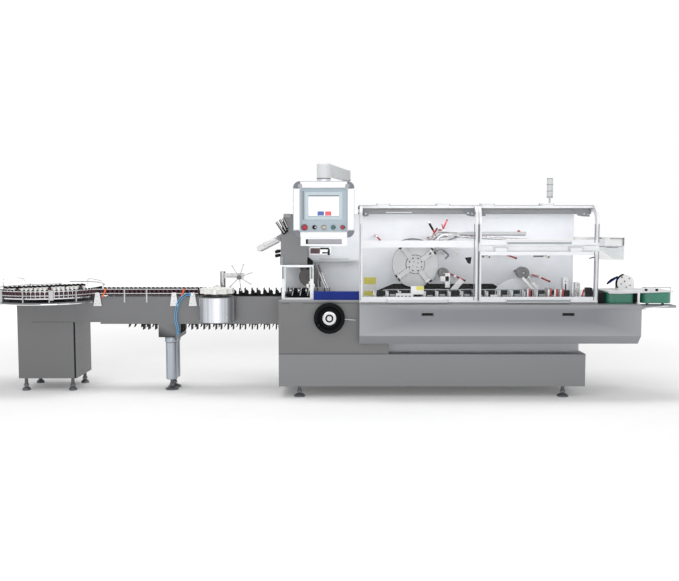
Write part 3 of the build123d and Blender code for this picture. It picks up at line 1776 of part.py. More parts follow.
# Flap tuckers, posts and a pierced strip that stand behind the chain
guide_y = chain_ys[1] + guide_setback
with BuildPart() as carton_guides:
    block(
        (guard_left + sieve_offset, guard_left + sieve_offset + sieve_width),
        (guide_y, guide_y + guide_thickness),
        (table_height, chain_top + sieve_rise),
    )
    for index in range(sieve_holes):
        hole_x = guard_left + sieve_offset + (index + 0.5) * sieve_width / sieve_holes
        rod(
            (hole_x, guide_y, chain_top),
            (hole_x, guide_y + guide_thickness, chain_top),
            sieve_hole_radius,
            mode=Mode.SUBTRACT,
            sides=12,
        )
    for offset in tucker_offsets:
        tucker_x = guard_left + offset
        prism(
            Plane.XZ.offset(-(guide_y + guide_thickness)),
            [
                (tucker_x, table_height),
                (tucker_x + tucker_width, table_height),
                (tucker_x + tucker_width + tucker_lean, chain_top + tucker_height),
                (tucker_x + tucker_lean, chain_top + tucker_height),
            ],
            guide_thickness,
        )
    post_front = guide_y + guide_thickness + guide_setback
    for offset, height in zip(guide_post_offsets, guide_post_heights):
        post_x = guard_left + offset
        block(
            (post_x, post_x + guide_post_width),
            (post_front, post_front + guide_post_width),
            (table_height, table_height + height),
        )
finish(carton_guides, "carton_guides")

# Beacon
with BuildPart() as beacon:
    rod(
        (beacon_x, beacon_y, roof_top),
        (beacon_x, beacon_y, roof_top + roof_skin),
        beacon_base,
        sides=wheel_sides,
    )
    rod(
        (beacon_x, beacon_y, roof_top),
        (beacon_x, beacon_y, roof_top + beacon_stem),
        beacon_stem_radius,
        sides=8,
    )
    rod(
        (beacon_x, beacon_y, roof_top + beacon_stem),
        (beacon_x, beacon_y, roof_top + beacon_stem + beacon_height),
        beacon_radius,
    )
finish(beacon, "beacon")

# Upper chute: an arm from the back plate, a hollow box and a skirt plate under it
chute_top = chute_bottom + chute_height
chute_ys = (chute_front, back_plate_front)
with BuildPart() as upper_chute:
    block(
        (back_plate_right, chute_right),
        (back_plate_front - chute_arm_depth, back_plate_front),
        (chute_bottom, chute_top),
    )
    block((chute_left, chute_right), chute_ys, (chute_bottom, chute_top))
    block(
        (chute_left + chute_sheet, chute_right - chute_sheet),
        (chute_front, back_plate_front - chute_arm_depth),
        (chute_bottom + chute_sheet, chute_top - chute_sheet),
        mode=Mode.SUBTRACT,
    )
    prism(
        Plane.XZ.offset(-(chute_front + chute_sheet)),
        [
            (chute_left - chute_skirt_left, chute_bottom + chute_sheet),
            (chute_right, chute_bottom + chute_sheet),
            (chute_right, chute_bottom - chute_skirt),
            (chute_left - chute_skirt_left, chute_bottom - chute_skirt * 0.9),
        ],
        chute_sheet,
    )
finish(upper_chute, "upper_chute")

# Outfeed frame: a closed box, a base plate on it and the upright drums of the edge belts
front_ys = (front_belt_y - outfeed_base_half, front_belt_y + outfeed_base_half)
rear_ys = (rear_belt_y - outfeed_base_half, rear_belt_y + outfeed_base_half)
left_span = (guard_right + left_belt_start, guard_right + left_belt_start + left_belt_length)
right_span = (left_span[1] + belt_span_gap, outfeed_right - outfeed_end_gap)
rear_span = (left_span[0], left_span[0] + rear_belt_length)
drum_zs = (edge_belt_bottom, edge_belt_top)
spans = ((left_span, front_belt_y), (right_span, front_belt_y), (rear_span, rear_belt_y))
with BuildPart() as outfeed_frame:
    block(
        (outfeed_left, outfeed_box_right),
        (outfeed_front, outfeed_front + outfeed_depth),
        (outfeed_base_z - outfeed_box_height, outfeed_base_z - outfeed_base),
    )
    block((guard_right, outfeed_right), front_ys, (outfeed_base_z - outfeed_base, outfeed_base_z))
    block((guard_right, outfeed_box_right), rear_ys, (outfeed_base_z - outfeed_base, outfeed_base_z))
    for span, span_y in spans:
        for drum_x in (span[0] + edge_drum_radius, span[1] - edge_drum_radius):
            rod((drum_x, span_y, outfeed_base_z), (drum_x, span_y, cover_z), edge_shaft_radius, sides=6)
            rod(
                (drum_x, span_y, drum_zs[0]),
                (drum_x, span_y, drum_zs[1]),
                edge_drum_radius,
                sides=pad_sides,
            )
finish(outfeed_frame, "outfeed_frame")

with BuildPart() as outfeed_belts:
    for span, span_y in spans:
        loop_belt(
            Plane.XY.offset(edge_belt_bottom),
            ((span[0] + span[1]) / 2, span_y),
            (span[1] - span[0]) / 2 - edge_drum_radius,
            edge_drum_radius,
            edge_belt_thickness,
            edge_belt_height,
        )
finish(outfeed_belts, "outfeed_belts")

# Cover over the front belts with the press plates that stand on it
press_x = guard_right + press_offset
press_centre = press_x + press_width / 2
with BuildPart() as outfeed_covers:
    block(
        (left_span[0], right_span[1]),
        (front_ys[0], rear_ys[0]),
        (cover_z, cover_z + cover_thickness),
    )
    for press_y in (rear_ys[0] - press_gap, rear_ys[0] - 2 * press_gap):
        block(
            (press_x, press_x + press_width),
            (press_y, press_y + press_thickness),
            (cover_z, cover_z + press_height),
        )
        rod(
            (press_centre, press_y, cover_z + press_height),
            (press_centre, press_y + press_thickness, cover_z + press_height),
            press_width / 2,
            sides=wheel_sides,
        )
finish(outfeed_covers, "outfeed_covers")
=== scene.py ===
"""Looks of the cartoning machine: materials, fittings, mechanism and products, round the CAD frame."""
import json
import math
import random

import bmesh
import bpy
from mathutils import Matrix, Vector


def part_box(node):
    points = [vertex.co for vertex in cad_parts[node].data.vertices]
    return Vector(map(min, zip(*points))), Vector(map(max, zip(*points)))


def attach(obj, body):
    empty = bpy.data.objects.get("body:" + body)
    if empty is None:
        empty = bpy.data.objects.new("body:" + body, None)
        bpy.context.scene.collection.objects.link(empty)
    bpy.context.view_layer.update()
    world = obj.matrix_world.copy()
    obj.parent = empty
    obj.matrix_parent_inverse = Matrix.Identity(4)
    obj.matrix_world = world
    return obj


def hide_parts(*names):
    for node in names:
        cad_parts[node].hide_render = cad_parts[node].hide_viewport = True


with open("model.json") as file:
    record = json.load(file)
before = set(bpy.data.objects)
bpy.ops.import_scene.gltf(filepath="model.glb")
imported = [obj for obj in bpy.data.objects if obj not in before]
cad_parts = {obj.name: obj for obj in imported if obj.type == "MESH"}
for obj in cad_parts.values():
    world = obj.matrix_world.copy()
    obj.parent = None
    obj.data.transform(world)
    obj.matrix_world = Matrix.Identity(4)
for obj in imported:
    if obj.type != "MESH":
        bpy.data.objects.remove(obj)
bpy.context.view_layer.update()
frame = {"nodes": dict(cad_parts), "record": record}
nodes = frame["nodes"]
MM = 0.001
X, Y, Z = 0, 1, 2
scene = bpy.context.scene
scene.view_settings.view_transform = "Standard"
rng = random.Random(7)

# Camera, square to the front and a little above the guard
CAMERA_PLACE = (0.145, -8.620, 1.690)
CAMERA_DOWN = 4.406
camera_data = bpy.data.cameras.new("camera")
camera = bpy.data.objects.new("camera", camera_data)
scene.collection.objects.link(camera)
camera.location = CAMERA_PLACE
camera.rotation_euler = (math.radians(90 - CAMERA_DOWN), 0, 0)
camera_data.sensor_width = 36
camera_data.lens = 45.07
camera_data.clip_end = 60
scene.camera = camera

# Materials
NOISE_RANGE = (0.3, 0.7)
EDGE_RANGE = (0.52, 0.62)
RELIEF_DEPTH = 0.002
BRUSH = (0.6, 0.6, 90)
PANE_IOR = 1.12


def new_node(tree, kind, values=()):
    """A shader node of this kind with its named inputs set."""
    node = tree.nodes.new("ShaderNode" + kind)
    for socket, value in dict(values).items():
        node.inputs[socket].default_value = value
    return node


def spread(tree, source, levels, low, high):
    """Maps a value that varies between two levels on to low and high."""
    node = new_node(tree, "MapRange", {
        "From Min": levels[0], "From Max": levels[1], "To Min": low, "To Max": high})
    tree.links.new(source, node.inputs["Value"])
    return node.outputs["Result"]


def noise(tree, place, stretch, scale, detail):
    """Noise in the object's own space, stretched along its axes."""
    mapping = new_node(tree, "Mapping", {"Scale": stretch})
    tree.links.new(place.outputs["Object"], mapping.inputs["Vector"])
    grain = new_node(tree, "TexNoise", {"Scale": scale, "Detail": detail})
    tree.links.new(mapping.outputs["Vector"], grain.inputs["Vector"])
    return grain.outputs["Fac"]


def colour_mix(tree, blend):
    """A node that blends two colours in this way."""
    node = new_node(tree, "Mix")
    node.data_type = "RGBA"
    node.blend_type = blend
    return node


def material(name, colour, metal=0.0, rough=0.5, *, tone=0.06, tone_scale=6.0, stretch=(1, 1, 1),
             bump=0.0, bump_scale=40.0, bump_stretch=None, rough_spread=0.08, coat=0.0,
             alpha=1.0, glow=0.0, wear=0.0, shine=0.5):
    """A shader with uneven tone, uneven gloss and a fine relief; wear lightens the edges a little. Tone
    stretched along one axis paints reflection streaks on polished steel.
    """
    made = bpy.data.materials.new(name)
    made.use_nodes = True
    tree = made.node_tree
    link = tree.links.new
    shader = tree.nodes["Principled BSDF"]
    place = new_node(tree, "TexCoord")
    tint = colour_mix(tree, "MULTIPLY")
    tint.inputs["Factor"].default_value = 1
    tint.inputs["A"].default_value = (*colour, 1)
    tones = noise(tree, place, stretch, tone_scale, 5)
    link(spread(tree, tones, NOISE_RANGE, 1 - tone, 1 + tone), tint.inputs["B"])
    colour_out = tint.outputs["Result"]
    if wear:
        edge = new_node(tree, "NewGeometry")
        worn = colour_mix(tree, "MIX")
        worn.inputs["B"].default_value = (*[min(1, c * 0.5 + 0.5) for c in colour], 1)
        link(spread(tree, edge.outputs["Pointiness"], EDGE_RANGE, 0, wear), worn.inputs["Factor"])
        link(colour_out, worn.inputs["A"])
        colour_out = worn.outputs["Result"]
    link(colour_out, shader.inputs["Base Color"])
    grain = noise(tree, place, bump_stretch or stretch, bump_scale, 4)
    dull, glossy = min(1, rough + rough_spread), max(0.02, rough - rough_spread)
    link(spread(tree, grain, NOISE_RANGE, glossy, dull), shader.inputs["Roughness"])
    if bump:
        relief = new_node(tree, "Bump", {"Strength": bump, "Distance": RELIEF_DEPTH})
        link(grain, relief.inputs["Height"])
        link(relief.outputs["Normal"], shader.inputs["Normal"])
    shader.inputs["Metallic"].default_value = metal
    shader.inputs["Coat Weight"].default_value = coat
    shader.inputs["Alpha"].default_value = alpha
    shader.inputs["Specular IOR Level"].default_value = shine
    if glow:
        shader.inputs["Emission Color"].default_value = (*colour, 1)
        shader.inputs["Emission Strength"].default_value = glow
    return made


def sheet(name, level):
    """Stainless sheet brushed along its length; level is how pale it is, and each part gets its own lighter
    or darker copy as painted light and shade.
    """
    return material(name, (level * 0.97, level * 1.0, level * 1.09), 0.45, 0.42, tone=0.05, tone_scale=0.8,
                    bump=0.05, bump_scale=6, bump_stretch=BRUSH, wear=0.3, shine=0.2)


# How pale each copy of the one stainless sheet is: darker copies paint shade, paler copies paint light, and
# the right cabinet's copy is made pale against the shadow under the apron
SHEET_SHADE_LEVELS = {
    "brushed_sheet": 0.16, "apron_sheet": 0.215, "housing_sheet": 0.066, "cabinet_shaded_sheet": 0.034,
    "plinth_sheet": 0.098, "recess_lit_sheet": 0.40, "conveyor_shaded_sheet": 0.058, "outfeed_sheet": 0.27,
    "roof_sheet": 0.105, "foot_steel": 0.13, "table_shaded_sheet": 0.042,
}
# Colour, metal, roughness and what else differs from a plain finish
FINISHES = {
    "dark_sheet": ((0.16, 0.16, 0.17), 0.4, 0.45, dict(tone=0.05, bump=0.05, wear=0.3)),
    "pale_paint": ((0.66, 0.67, 0.69), 0, 0.35, dict(tone=0.03, bump=0.02, bump_scale=300)),
    "white_frame": ((0.75, 0.76, 0.78), 0.15, 0.32, dict(tone=0.03, bump=0.03, bump_scale=8,
                                                         bump_stretch=(1, 1, 40), wear=0.3)),
    "white_paint": ((0.82, 0.82, 0.82), 0, 0.35, dict(tone=0.03, bump=0.03, bump_scale=260)),
    "grey_aluminium": ((0.50, 0.50, 0.51), 0.6, 0.38, dict(bump=0.04, bump_scale=10, bump_stretch=(60, 1, 1),
                                                           wear=0.3)),
    "pale_aluminium": ((0.74, 0.74, 0.75), 0.3, 0.35, dict(bump=0.03, wear=0.2)),
    "bright_steel": ((0.58, 0.58, 0.59), 0.9, 0.26, dict(tone=0.04, bump=0.03, wear=0.2)),
    "bright_chrome": ((0.78, 0.78, 0.79), 1, 0.14, dict(tone=0.03, rough_spread=0.04, bump=0.01)),
    "clear_pane": ((0.93, 0.95, 0.96), 0, 0.05, dict(tone=0.01, rough_spread=0.02, alpha=0.01, bump=0.01,
                                                     bump_scale=2, shine=0.2)),
    "screen_glass": ((0.42, 0.50, 0.54), 0, 0.22, dict(tone=0.02, coat=0.4, bump=0.01)),
    "grey_fascia": ((0.37, 0.44, 0.49), 0.1, 0.4, dict(tone=0.03, bump=0.03, bump_scale=400)),
    "black_plastic": ((0.003, 0.0034, 0.0045), 0, 0.5, dict(tone=0.15, shine=0.05, bump=0.02, bump_scale=200,
                                                            wear=0.03)),
    "grey_plastic": ((0.12, 0.12, 0.125), 0, 0.42, dict(tone=0.08, bump=0.06, bump_scale=150, wear=0.2)),
    "white_plastic": ((0.80, 0.80, 0.78), 0, 0.42, dict(tone=0.04, bump=0.04, bump_scale=160)),
    "blue_paint": ((0.006, 0.022, 0.20), 0, 0.4, dict(tone=0.06, bump=0.02, shine=0.15)),
    "green_belt": ((0.02, 0.19, 0.12), 0, 0.22,
                   dict(tone=0.12, tone_scale=9, bump=0.06, bump_scale=120, coat=0.5)),
    "red_plastic": ((0.42, 0.015, 0.03), 0, 0.35, dict(tone=0.08, bump=0.03, coat=0.05)),
    "hose_blue": ((0.09, 0.36, 0.64), 0, 0.3, dict(tone=0.05, bump=0.02, coat=0.3)),
    "maroon_plastic": ((0.045, 0.009, 0.018), 0, 0.3, dict(tone=0.2, bump=0.03, coat=0.1)),
    "orange_strap": ((0.85, 0.13, 0.02), 0, 0.5, dict(tone=0.08, bump=0.05)),
    "display_white": ((0.86, 0.90, 0.95), 0, 0.2, dict(tone=0.03, glow=0.2, bump=0.01)),
    "display_blue": ((0.04, 0.09, 0.34), 0, 0.2, dict(tone=0.03, glow=0.1, bump=0.01)),
    "display_red": ((0.62, 0.08, 0.09), 0, 0.2, dict(tone=0.03, glow=0.1, bump=0.01)),
    "corner_grey": ((0.11, 0.125, 0.15), 0, 0.4, dict(tone=0.06, bump=0.04, wear=0.2)),
    "green_grey": ((0.20, 0.26, 0.25), 0, 0.4, dict(tone=0.06, bump=0.04)),
    "amber_plastic": ((0.50, 0.42, 0.28), 0, 0.35, dict(tone=0.05, bump=0.03)),
    "green_plastic": ((0.05, 0.15, 0.13), 0, 0.3, dict(tone=0.05, bump=0.03)),
    "bare_yellow": ((0.72, 0.66, 0.10), 0, 0.45, dict(tone=0.04, bump=0.03)),
    "handle_grey": ((0.30, 0.33, 0.34), 0.3, 0.4, dict(tone=0.04, bump=0.03)),
    # Back plate and shroud inside the guard: the pale paint made much brighter, painted light against the
    # shade of the roof and doors
    "wall_lit_paint": ((0.84, 0.87, 0.91), 0, 0.4, dict(tone=0.03, bump=0.02, bump_scale=300)),
    "rotor_paint": ((0.58, 0.59, 0.60), 0.1, 0.4, dict(tone=0.04, bump=0.03)),
    "arm_paint": ((0.60, 0.62, 0.63), 0, 0.35, dict(tone=0.03, bump=0.03, bump_scale=200)),
    "slot_grey": ((0.36, 0.35, 0.38), 0, 0.4, dict(tone=0.2, tone_scale=2.5, bump=0.03)),
    "milky_pane": ((0.86, 0.90, 0.91), 0, 0.2, dict(tone=0.02, alpha=0.35, bump=0.02)),
    "hopper_brown": ((0.085, 0.078, 0.075), 0.2, 0.4, dict(tone=0.08, bump=0.03)),
    # Drum and column steel: tone stretched to change round the cylinder and not up it, painting the vertical
    # reflection streaks of polished steel
    "drum_sheen_steel": ((0.60, 0.62, 0.66), 0.7, 0.22,
                   dict(tone=0.55, tone_scale=1.0, stretch=(9, 9, 0.02), bump=0.01)),
    "column_sheen_steel": ((0.42, 0.46, 0.51), 0.6, 0.3, dict(tone=0.25, tone_scale=1.0, stretch=(14, 14, 0.02),
                                                        bump=0.01)),
    "floor_pale": ((0.90, 0.90, 0.90), 0, 0.8, dict(tone=0.01, glow=0.45, shine=0.1, bump=0.02)),
}
mats = {name: sheet(name, level) for name, level in SHEET_SHADE_LEVELS.items()}
for name, (colour, metal, rough, more) in FINISHES.items():
    mats[name] = material(name, colour, metal, rough, **more)
mats["clear_pane"].node_tree.nodes["Principled BSDF"].inputs["IOR"].default_value = PANE_IOR

# Finish of each CAD piece: its own slot's, or a lighter or darker copy of sheet or paint that paints the
# light and shade it shows in the photograph
SHEET_OF = {
    "infeed_conveyor": "conveyor_shaded_sheet", "support_leg": "conveyor_shaded_sheet", "turntable_cabinet": "table_shaded_sheet",
    "left_cabinet": "cabinet_shaded_sheet", "base_plinth": "plinth_sheet", "right_cabinet": "recess_lit_sheet",
    "front_apron": "apron_sheet", "outfeed_frame": "outfeed_sheet", "leaflet_housing": "housing_sheet",
    "back_plate": "wall_lit_paint", "rear_housing": "housing_sheet", "swing_arm": "arm_paint",
    "beacon": "arm_paint", "arm_post": "arm_paint", "guard_roof": "roof_sheet",
    "suction_rotor": "rotor_paint", "paddle_wheel": "grey_aluminium", "rail_brackets": "pale_aluminium",
    "table_plate": "dark_sheet", "guide_rails": "grey_aluminium",
}
slot_of_node = {row["node"]: row["material_slot"] for row in frame["record"]["subparts"]}
for node_name, node in nodes.items():
    node.data.materials.clear()
    node.data.materials.append(mats[SHEET_OF.get(node_name, slot_of_node[node_name])])
    for polygon in node.data.polygons:
        polygon.use_smooth = False


def edges(obj, width, segments=2):
    """Rounds the sharp edges of a piece by this width in metres."""
    bevel = obj.modifiers.new("edges", "BEVEL")
    bevel.width = width
    bevel.segments = segments
    bevel.limit_method = "ANGLE"
    bevel.angle_limit = math.radians(40)
    bevel.harden_normals = False


def smooth(obj, angle=35):
    """Shades a piece smoothly where its faces meet at less than this angle in degrees."""
    limit = math.radians(angle)
    bm = bmesh.new()
    bm.from_mesh(obj.data)
    for face in bm.faces:
        face.smooth = True
    for edge in bm.edges:
        edge.smooth = len(edge.link_faces) != 2 or edge.calc_face_angle(0) < limit
    bm.to_mesh(obj.data)
    bm.free()


# Width in millimetres of the rounding on the edges of the CAD pieces
ROUND_EDGES = {
    1.5: ("base_plinth", "left_cabinet", "right_cabinet", "front_apron", "turntable_cabinet", "table_plate",
          "infeed_conveyor", "rear_housing", "back_plate", "outfeed_frame", "support_leg", "leaflet_housing"),
    2.0: ("guard_frame", "left_door_frame", "upper_door_frame", "lower_door_frame", "infeed_guard",
          "blue_panel", "panel_frame", "panel_tray", "swing_arm", "outfeed_covers"),
    0.8: ("guard_roof", "door_hinges", "rail_brackets", "carton_rails", "carton_chain", "clamp_levers",
          "carton_guides", "rotor_shaft", "suction_rotor", "carton_rollers", "paddle_stand", "handwheel_hub",
          "handwheel", "star_drum", "star_wheel", "leaflet_parts", "upper_chute", "beacon", "panel_screen"),
}
for width, names in ROUND_EDGES.items():
    for node_name in names:
        edges(nodes[node_name], width * MM)


class Piece:
    """Collects shapes in millimetres and turns them into one object that rides on a CAD body."""

    def __init__(self, name, slot, body="root"):
        self.name, self.slot, self.body = name, slot, body
        self.bm = bmesh.new()

    def box(self, xs, ys, zs, turn=None, about=None):
        """A box between limits, turned by (axis, degrees) about its middle or a point."""
        made = bmesh.ops.create_cube(self.bm, size=1)["verts"]
        size = [max(1e-3, b - a) for a, b in (xs, ys, zs)]
        mid = [(a + b) / 2 for a, b in (xs, ys, zs)]
        for v in made:
            v.co = Vector([c * s + m for c, s, m in zip(v.co, size, mid)])
        if turn:
            turned = Matrix.Rotation(math.radians(turn[1]), 3, turn[0])
            bmesh.ops.rotate(self.bm, verts=made, cent=Vector(about or mid), matrix=turned)
        return self

    def rod(self, start, end, radius, tip=None, sides=20):
        """A round bar; tip is its radius at the end where that differs."""
        a, b = Vector(start), Vector(end)
        made = bmesh.ops.create_cone(
            self.bm, cap_ends=True, segments=sides, radius1=radius,
            radius2=radius if tip is None else tip, depth=(b - a).length,
        )["verts"]
        spin = (b - a).to_track_quat("Z", "Y").to_matrix().to_4x4()
        bmesh.ops.transform(self.bm, verts=made, matrix=Matrix.Translation((a + b) / 2) @ spin)
        return self

    def pins(self, spots, y_start, y_end, radius, tip=None, sides=12):
        """A rod along Y at each (x, z)."""
        for x, z in spots:
            self.rod((x, y_start, z), (x, y_end, z), radius, tip, sides)
        return self

    def lathe(self, centre, profile, axis="Z", sides=32):
        """Turns (radius, height) pairs about an axis through centre; on Y, height runs to the front."""
        rings = []
        for radius, height in profile:
            ring = []
            for k in range(sides):
                t = 2 * math.pi * k / sides
                u, v = radius * math.cos(t), radius * math.sin(t)
                p = {"Z": (u, v, height), "Y": (u, -height, v)}[axis]
                ring.append(self.bm.verts.new(Vector(centre) + Vector(p)))
            rings.append(ring)
        self.skin(rings)
        return self

    def plate(self, points, thickness, plane="XZ", at=0.0):
        """An outline given on a plane, thickened along the plane's third axis."""
        def spot(p, d):
            return {"XZ": (p[0], at + d, p[1]), "XY": (p[0], p[1], at + d)}[plane]
        self.skin([[self.bm.verts.new(spot(p, d)) for p in points] for d in (0, thickness)])
        return self

    def tube(self, points, radius, sides=10, steps=6):
        """A round bar along a smooth line through the points."""
        line = [Vector(p) for p in points]
        fine = []
        for k in range(len(line) - 1):
            p0 = line[max(k - 1, 0)]
            p1, p2 = line[k], line[k + 1]
            p3 = line[min(k + 2, len(line) - 1)]
            for s in range(steps):
                t = s / steps
                fine.append(0.5 * ((2 * p1) + (p2 - p0) * t + (2 * p0 - 5 * p1 + 4 * p2 - p3) * t * t
                                   + (3 * p1 - p0 - 3 * p2 + p3) * t ** 3))
        fine.append(line[-1])
        rings = []
        side = None
        for k, p in enumerate(fine):
            along = (fine[min(k + 1, len(fine) - 1)] - fine[max(k - 1, 0)]).normalized()
            side = (side - along * side.dot(along) if side else along.orthogonal()).normalized()
            up = along.cross(side)
            turns = [2 * math.pi * s / sides for s in range(sides)]
            rings.append([self.bm.verts.new(p + radius * (math.cos(t) * side + math.sin(t) * up))
                          for t in turns])
        self.skin(rings)
        return self

    def skin(self, rings):
        """Walls between rings of points, with both ends closed."""
        for low, high in zip(rings, rings[1:]):
            for k in range(len(low)):
                n = (k + 1) % len(low)
                self.bm.faces.new((low[k], low[n], high[n], high[k]))
        self.bm.faces.new(rings[0])
        self.bm.faces.new(rings[-1])

    def done(self, bevel=1.0, replaces=()):
        bmesh.ops.scale(self.bm, verts=self.bm.verts, vec=(MM, MM, MM))
        bmesh.ops.recalc_face_normals(self.bm, faces=self.bm.faces)
        mesh = bpy.data.meshes.new(self.name)
        self.bm.to_mesh(mesh)
        self.bm.free()
        obj = bpy.data.objects.new(self.name, mesh)
        scene.collection.objects.link(obj)
        mesh.materials.append(mats[self.slot])
        smooth(obj)
        if bevel:
            edges(obj, bevel * MM, 1)
        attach(obj, self.body)
        if replaces:
            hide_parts(*replaces)


def limits(name):
    """A node's box in millimetres, as a low and a high value on each axis."""
    low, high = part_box(name)
    return [(low[k] / MM, high[k] / MM) for k in range(3)]


def arc(x, z, radius, degrees, height=None):
    """A point at each angle on a circle about (x, z), or on an oval of another height."""
    turns = [math.radians(angle) for angle in degrees]
    return [(x + radius * math.cos(t), z + (height or radius) * math.sin(t)) for t in turns]


def ring_of(count, start=0.0):
    """Angles of as many things as count, spread evenly round a circle."""
    return [start + 360 * k / count for k in range(count)]


# Places taken from the frame
cabinet, right, plinth = limits("left_cabinet"), limits("right_cabinet"), limits("base_plinth")
apron, table_cabinet = limits("front_apron"), limits("turntable_cabinet")
front = cabinet[Y][0]
apron_front = apron[Y][0]
leg = limits("support_leg")
leg_x = sum(leg[X]) / 2
LEG_YS = (55, 200)

# Levelling feet: turned pads and stems with rubber under them, as x, y, pad radius and top of the stem
pad_spots = [(x, y, 55, 112) for x in (plinth[X][0] + 200, plinth[X][1] - 200) for y in (-310, 700)]
pad_spots += [
    (x, y, 42, table_cabinet[Z][0])
    for x in (table_cabinet[X][0] + 55, table_cabinet[X][1] - 55)
    for y in (table_cabinet[Y][0] + 55, table_cabinet[Y][1] - 55)
]
pad_spots += [(leg_x, y, 67, 110) for y in LEG_YS]
feet = Piece("levelling_feet_turned", "foot_steel")
pads = Piece("foot_rubber", "black_plastic")
for x, y, r, top in pad_spots:
    feet.lathe((x, y, 0), [(r * 0.96, 0), (r, 3), (r, 12), (r * 0.9, 17), (30, 30), (17, 34), (17, top)])
    feet.rod((x, y, 44), (x, y, 56), 27, sides=6)
    feet.rod((x, y, 60), (x, y, 66), 25)
    pads.lathe((x, y, 0), [(r * 0.9, 0.2), (r * 0.98, 0.2), (r * 1.0, 5), (r * 0.96, 6)])
feet.done(0.6, replaces=("levelling_feet",))
pads.done(0)

# Seams of the sheet panels, and strips along the cabinet and the apron: a paler strip on the cabinet's top
# edge as a painted highlight, a darker one along the apron's top as a painted shadow under the guard, and a
# thin line at the right end
seam_ys = (front - 0.6, front + 3)
panel_seam_ys = (front - 0.6, front + 2)
cabinet_door_ys = (table_cabinet[Y][0] - 0.6, table_cabinet[Y][0] + 2)
plinth_top = plinth[Z][1]
cabinet_door_top = 706
seams = Piece("cabinet_seams", "black_plastic")
seams.box((plinth[X][0] + 2, plinth[X][1] - 2), seam_ys, (plinth_top - 2.5, plinth_top + 2.5))
seams.box((cabinet[X][0] + 30, 330), seam_ys, (925, 928))
seams.box((right[X][0] + 560, right[X][0] + 563), panel_seam_ys, (560, 925))
seams.box((right[X][0] + 20, right[X][1] - 20), panel_seam_ys, (plinth_top + 128, plinth_top + 132))
seams.box((table_cabinet[X][0] + 150, table_cabinet[X][1] - 14), cabinet_door_ys,
          (cabinet_door_top, cabinet_door_top + 3))
seams.box((table_cabinet[X][1] - 20, table_cabinet[X][1] - 3), cabinet_door_ys, (134, cabinet_door_top))
seams.done(0)
# Painted highlight on the cabinet's top edge and painted shadow along the apron's top
trim = Piece("cabinet_edge_highlight_and_shadow", "brushed_sheet")
trim.box((cabinet[X][0] + 2, 335), (front - 7, front + 1), (946, 962))
trim.box(apron[X], (apron_front - 3, apron_front + 2), (919, 927.5))
trim.box((2530, apron[X][1] + 44), (apron_front - 2, -376), (884, 886))
trim.done(1.2)

# Handwheel: rings of the hub and the ribs of the grip
wheel_x, wheel_y, wheel_z = 47.0, -458.0, 790.0
wheel_face = (wheel_x, wheel_y - 4, wheel_z)
hub = Piece("handwheel_rings", "bright_steel", "handwheel")
hub.lathe((wheel_x, wheel_y + 6, wheel_z),
          [(66, 0), (66, 2.5), (62, 4.5), (44, 4.5), (40, 2.5), (40, 0)], "Y", 48)
hub.lathe(wheel_face, [(24, 0), (24, 6), (20, 9), (8, 9), (6, 5), (1, 5)], "Y", 32)
hub.done(0)
ribs = Piece("handwheel_black_ring", "black_plastic", "handwheel")
ribs.lathe(wheel_face, [(40, 0), (40, 3), (25, 3), (25, 0)], "Y", 48)
ribs.pins(arc(wheel_x, wheel_z, 148, ring_of(48)), wheel_y + 8, wheel_y + 30, 2.4, sides=6)
ribs.done(0)

# Operator panel: rounded frame with dark corners
panel, fascia, glass = limits("panel_frame"), limits("panel_fascia"), limits("panel_screen")
face_y = panel[Y][0]
left_x, right_x = panel[X]
low_z, high_z = fascia[Z][0] - 52, fascia[Z][1] + 64
corner_inset = 62
corner_xs = (left_x + corner_inset, right_x - corner_inset)
corner_low, corner_high = low_z + corner_inset, high_z - corner_inset
rails = Piece("panel_rails", "white_frame", "operator_panel")
for xs in ((left_x, left_x + 60), (right_x - 60, right_x)):
    rails.box(xs, (face_y - 4, face_y + 60), (low_z + 66, high_z - 66))
rails.box(corner_xs, (face_y - 4, face_y + 20), (high_z - 60, high_z - 1))
rails.box(corner_xs, (face_y - 4, face_y + 20), (low_z + 1, low_z + 48))
rails.done(4)
corners = Piece("panel_corners", "corner_grey", "operator_panel")
for x, z, start in ((corner_xs[0], corner_low, 180), (corner_xs[1], corner_low, 270),
                    (corner_xs[1], corner_high, 0), (corner_xs[0], corner_high, 90)):
    outline = arc(x, z, 64, range(start, start + 91, 9)) + arc(x, z, 8, range(start + 90, start - 1, -45))
    corners.plate(outline, 70, "XZ", face_y - 6)
corners.done(3)
corner_faces = Piece("panel_corner_faces", "slot_grey", "operator_panel")
for x in corner_xs:
    outline = [(x - 22, corner_high + 8), (x + 22, corner_high + 8), (x + 16, corner_high + 38),
               (x - 16, corner_high + 38)]
    corner_faces.plate(outline, 4, "XZ", face_y - 9)
corner_faces.done(2)
# Grey lines along the edges of the side rails and the top bar: painted shade on the frame's edges
frame_edge_shade = Piece("panel_frame_lines", "grey_fascia", "operator_panel")
for x in (left_x - 1, left_x + 58, right_x - 62, right_x - 3):
    frame_edge_shade.box((x, x + 4), (face_y - 5, face_y + 40), (low_z + 70, high_z - 70))
for z in (high_z - 64, high_z - 3):
    frame_edge_shade.box((left_x + 66, right_x - 66), (face_y - 5, face_y + 12), (z, z + 4))
frame_edge_shade.done(0)

